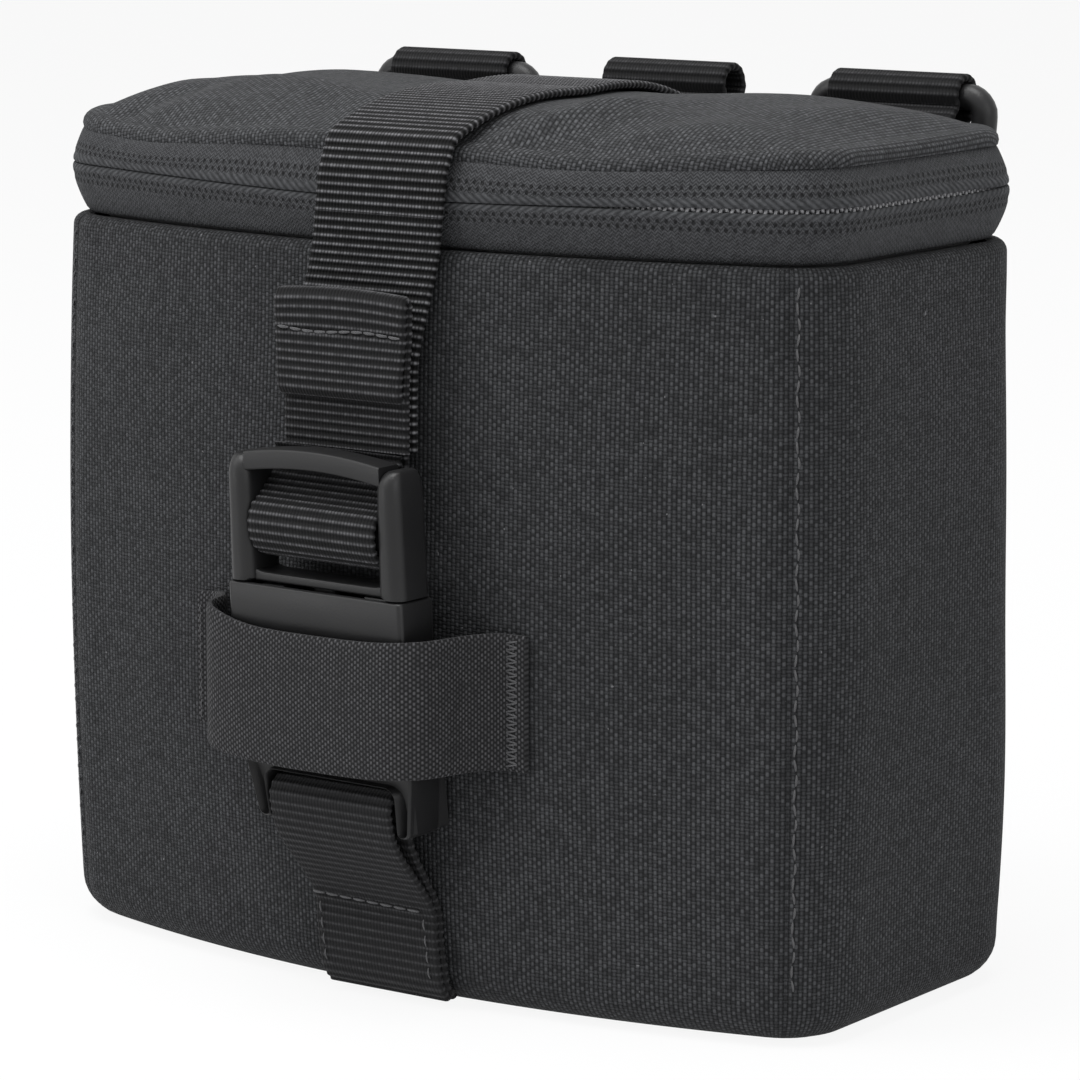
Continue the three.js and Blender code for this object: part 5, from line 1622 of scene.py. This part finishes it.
class POUCH_OT_loops(PouchOperator, bpy.types.Operator):
    """Build the three webbing loops behind the lid and the D-rings in the outer two"""

    bl_idname = "pouch.loops"
    bl_label = "Loops"

    def execute(self, context):
        rows = Shape()
        for name, cad, x in (
            ("left_loop", "ring_loop_left", -LOOP_SPACING),
            ("middle_loop", "centre_loop", 0.0),
            ("right_loop", "ring_loop_right", LOOP_SPACING),
        ):
            line = curve_yz(self.path()) + (x, 0, 0)
            piece(name, webbing(line, relief=0.04, bead=0.08), "loop", "pouch_body", (cad,))
            y = BACK_Y + GAP + 2 * WEBBING + 0.15
            for z in (LOOP_LOW_Z + 1.6, LOOP_LOW_Z + 7.6):
                stitches(rows, np.linspace((x - 11, y, z), (x + 11, y, z), 16), (0, 1, 0))
        piece("loop_stitches", rows, "thread", "pouch_body")
        for word, side in SIDES:
            ring, cad = self.ring(side * LOOP_SPACING), f"d_ring_{word}"
            piece(f"ring_{word}", ring, "plastic", f"{word}_ring", (cad,), sharp=60)
        return {"FINISHED"}

    def path(self):
        """Up the back, over to the ring, round it and down again behind the first layer, in (y, z)."""
        r = RING_RADIUS + GAP + WEBBING / 2
        a = np.radians([-30, 0, 35, 70, 105, 140, 180, 205])
        turn = np.stack([LOOP_Y - r * np.cos(a), LOOP_Z + r * np.sin(a)], -1)
        up = ((1.05, 0), (1.05, 5.4), (1.15, 10.6), (3.1, 13.4))
        down = ((7.6, 11.0), (3.6, 8.8), (2.65, 5.4), (2.6, 0))
        foot = np.array([BACK_Y, LOOP_LOW_Z])
        return np.vstack([foot + up, turn, foot + down])

    def ring(self, x):
        """D-ring: a round section carried round a straight bar and an elliptic bow."""
        half = RING_INNER_WIDTH / 2 + RING_RADIUS
        corner = RING_CORNER
        a = np.radians([0, 30, 60, 90])
        top = np.stack([half - corner + corner * np.sin(a), -corner + corner * np.cos(a)], -1)
        b = np.radians([15, 30, 45, 60, 75, 90])
        bow = np.stack([half * np.cos(b), -corner - (RING_DEPTH - corner) * np.sin(b)], -1)
        right = np.vstack([top, bow])
        left = right[-2::-1] * (-1, 1)
        line = curve(np.vstack([right, left, [[-half / 3, 0], [half / 3, 0]]]), 0.8, closed=True)
        tangent = unit(np.roll(line, -1, 0) - np.roll(line, 1, 0))
        out = np.stack([-tangent[:, 1], tangent[:, 0]], -1)
        t = turns(20)
        u = line[:, None] + out[:, None] * (RING_RADIUS * np.cos(t))[None, :, None]
        points = xyz(x + u[..., 0], LOOP_Y + RING_RADIUS * np.sin(t), LOOP_Z + u[..., 1])
        return Shape().grid(points, along(np.vstack([line, line[:1]])), np.linspace(0, 14, 21), True, True)


class POUCH_OT_back(PouchOperator, bpy.types.Operator):
    """Build the webbing rows and the two stiff straps on the back, with their snaps"""

    bl_idname = "pouch.back"
    bl_label = "Back"

    def execute(self, context):
        rows = Shape()
        y = BACK_Y + GAP + WEBBING / 2
        for word, z in (("low", ROW_LOW_Z), ("high", ROW_LOW_Z + ROW_SPACING)):
            shape = webbing(curve([(-ROW_REACH, y, z), (0, y, z), (ROW_REACH, y, z)]), ACROSS_Z, relief=0.1)
            cad = f"back_webbing_{word}"
            piece(f"back_row_{word}", shape, "loop", "pouch_body", (cad,))
            face = y + WEBBING / 2
            for x in ROW_TACKS:
                line = np.linspace((x, face, z - 11), (x, face, z + 11), 16)
                stitches(rows, line, (0, 1, 0), size("stitch") * 0.6)
        piece("back_row_stitches", rows, "thread", "pouch_body")
        for word, side in SIDES:
            self.stiff_strap(word, side * MODULAR_X)
        return {"FINISHED"}

    def stiff_strap(self, word, x):
        """A stiff strap with stitches along its edges and across its ends, its snap's cap and stud."""
        body = f"{word}_modular"
        y = MODULAR_Y + MODULAR / 2
        line = curve([(x, y, MODULAR_LOW_Z + 0.1), (x, y, 60), (x, y, MODULAR_HIGH_Z - 0.1)])
        shape = webbing(line, thickness=MODULAR, relief=0.08)
        piece(f"stiff_strap_{word}", shape, "loop", body, (f"modular_strap_{word}",))
        sewn = Shape()
        face = MODULAR_Y + MODULAR
        left, right = x - 10.6, x + 10.6
        low, high = MODULAR_LOW_Z + 3, MODULAR_HIGH_Z - 3
        for x0, x1, z0, z1 in (
            (left, left, low, high),
            (right, right, low, high),
            (left, right, low, low),
            (left, right, high, high),
            (left, right, high - 9, high - 9),
        ):
            stitches(sewn, np.linspace((x0, face, z0), (x1, face, z1), 40 if x0 == x1 else 16), (0, 1, 0))
        piece(f"stiff_strap_stitches_{word}", sewn, "thread", body)
        cap = (
            (0, 0), (7.5, 0), (7.5, 0.45), (7.2, 0.9), (6.3, 1.5),
            (5.2, 1.75), (4.7, 1.7), (4.3, 1.75), (2.5, 2.1), (0, 2.2),
        )
        stud = (
            (0, 0), (6, 0), (6, 0.5), (5.4, 0.65), (3.6, 0.7),
            (3.2, 0.85), (3.2, 1.15), (2.8, 1.4), (0, 1.4),
        )
        for name, profile, base, rides, cad in (
            (f"snap_{word}", cap, face + GAP, body, f"snap_cap_{word}"),
            (f"stud_{word}", stud, BACK_Y + GAP, "pouch_body", f"snap_stud_{word}"),
        ):
            shape = self.turned(profile, x, base, SNAP_Z)
            piece(name, shape, "metal", rides, (cad,), sharp=35)

    def turned(self, profile, x, y, z):
        """A profile of (radius, height) turned round an axis along +Y."""
        profile = np.array(profile, float)
        a = turns(40)
        r, h = profile[1:-1].T[..., None]
        rings = xyz(x + r * np.cos(a), y + h, z + r * np.sin(a))
        shape = Shape().grid(rings, along(profile[1:-1]), np.linspace(0, 40, 41), False, True)
        return shape.fan(rings[0], (x, y, z)).fan(rings[-1], (x, y + profile[-1, 1], z))


class POUCH_OT_seams(PouchOperator, bpy.types.Operator):
    """Sew the rows of stitches along the box's seams"""

    bl_idname = "pouch.seams"
    bl_label = "Seams"

    def execute(self, context):
        rows = Shape()
        z = np.linspace(9, BAND_LOW - 2.5, 90)
        for s in (-FRONT_SEAM - 1.1, FRONT_SEAM + 1.1, -REAR_SEAM - 1.5, REAR_SEAM + 1.5):
            line = wall(s + 0.22 * np.sin(z * 0.9), z, -0.05)
            nx, ny = place(s)[2:]
            stitches(rows, line, (nx, ny, 0), size("stitch") * 0.9, length=0.8, radius=0.2)
        piece("shell_stitches", rows, "seam", "pouch_body")
        return {"FINISHED"}


class POUCH_PT_panel(bpy.types.Panel):
    """Lists the pouch's sizes, colours and steps"""

    bl_label = "Binocular Pouch"
    bl_idname = "POUCH_PT_panel"
    bl_space_type = "VIEW_3D"
    bl_region_type = "UI"
    bl_category = "Pouch"

    def draw(self, context):
        for group in (context.scene.pouch_sizes, context.scene.pouch_colours):
            box = self.layout.box()
            for key in group.__annotations__:
                box.prop(group, key)
        for step in STEPS:
            self.layout.operator(step.bl_idname)


STEPS = (
    POUCH_OT_finishes,
    POUCH_OT_stage,
    POUCH_OT_shell,
    POUCH_OT_zipper,
    POUCH_OT_lid,
    POUCH_OT_strap,
    POUCH_OT_buckle,
    POUCH_OT_keeper,
    POUCH_OT_loops,
    POUCH_OT_back,
    POUCH_OT_seams,
)
CLASSES = (PouchSizes, PouchColours, *STEPS, POUCH_PT_panel)


def register():
    for each in CLASSES:
        bpy.utils.register_class(each)
    bpy.types.Scene.pouch_sizes = PointerProperty(type=PouchSizes)
    bpy.types.Scene.pouch_colours = PointerProperty(type=PouchColours)


def unregister():
    del bpy.types.Scene.pouch_colours
    del bpy.types.Scene.pouch_sizes
    for each in reversed(CLASSES):
        bpy.utils.unregister_class(each)


def main():
    register()
    for step in STEPS:
        group, name = step.bl_idname.split(".")
        getattr(getattr(bpy.ops, group), name)()
    bpy.context.view_layer.update()


if __name__ == "__main__":
    main()
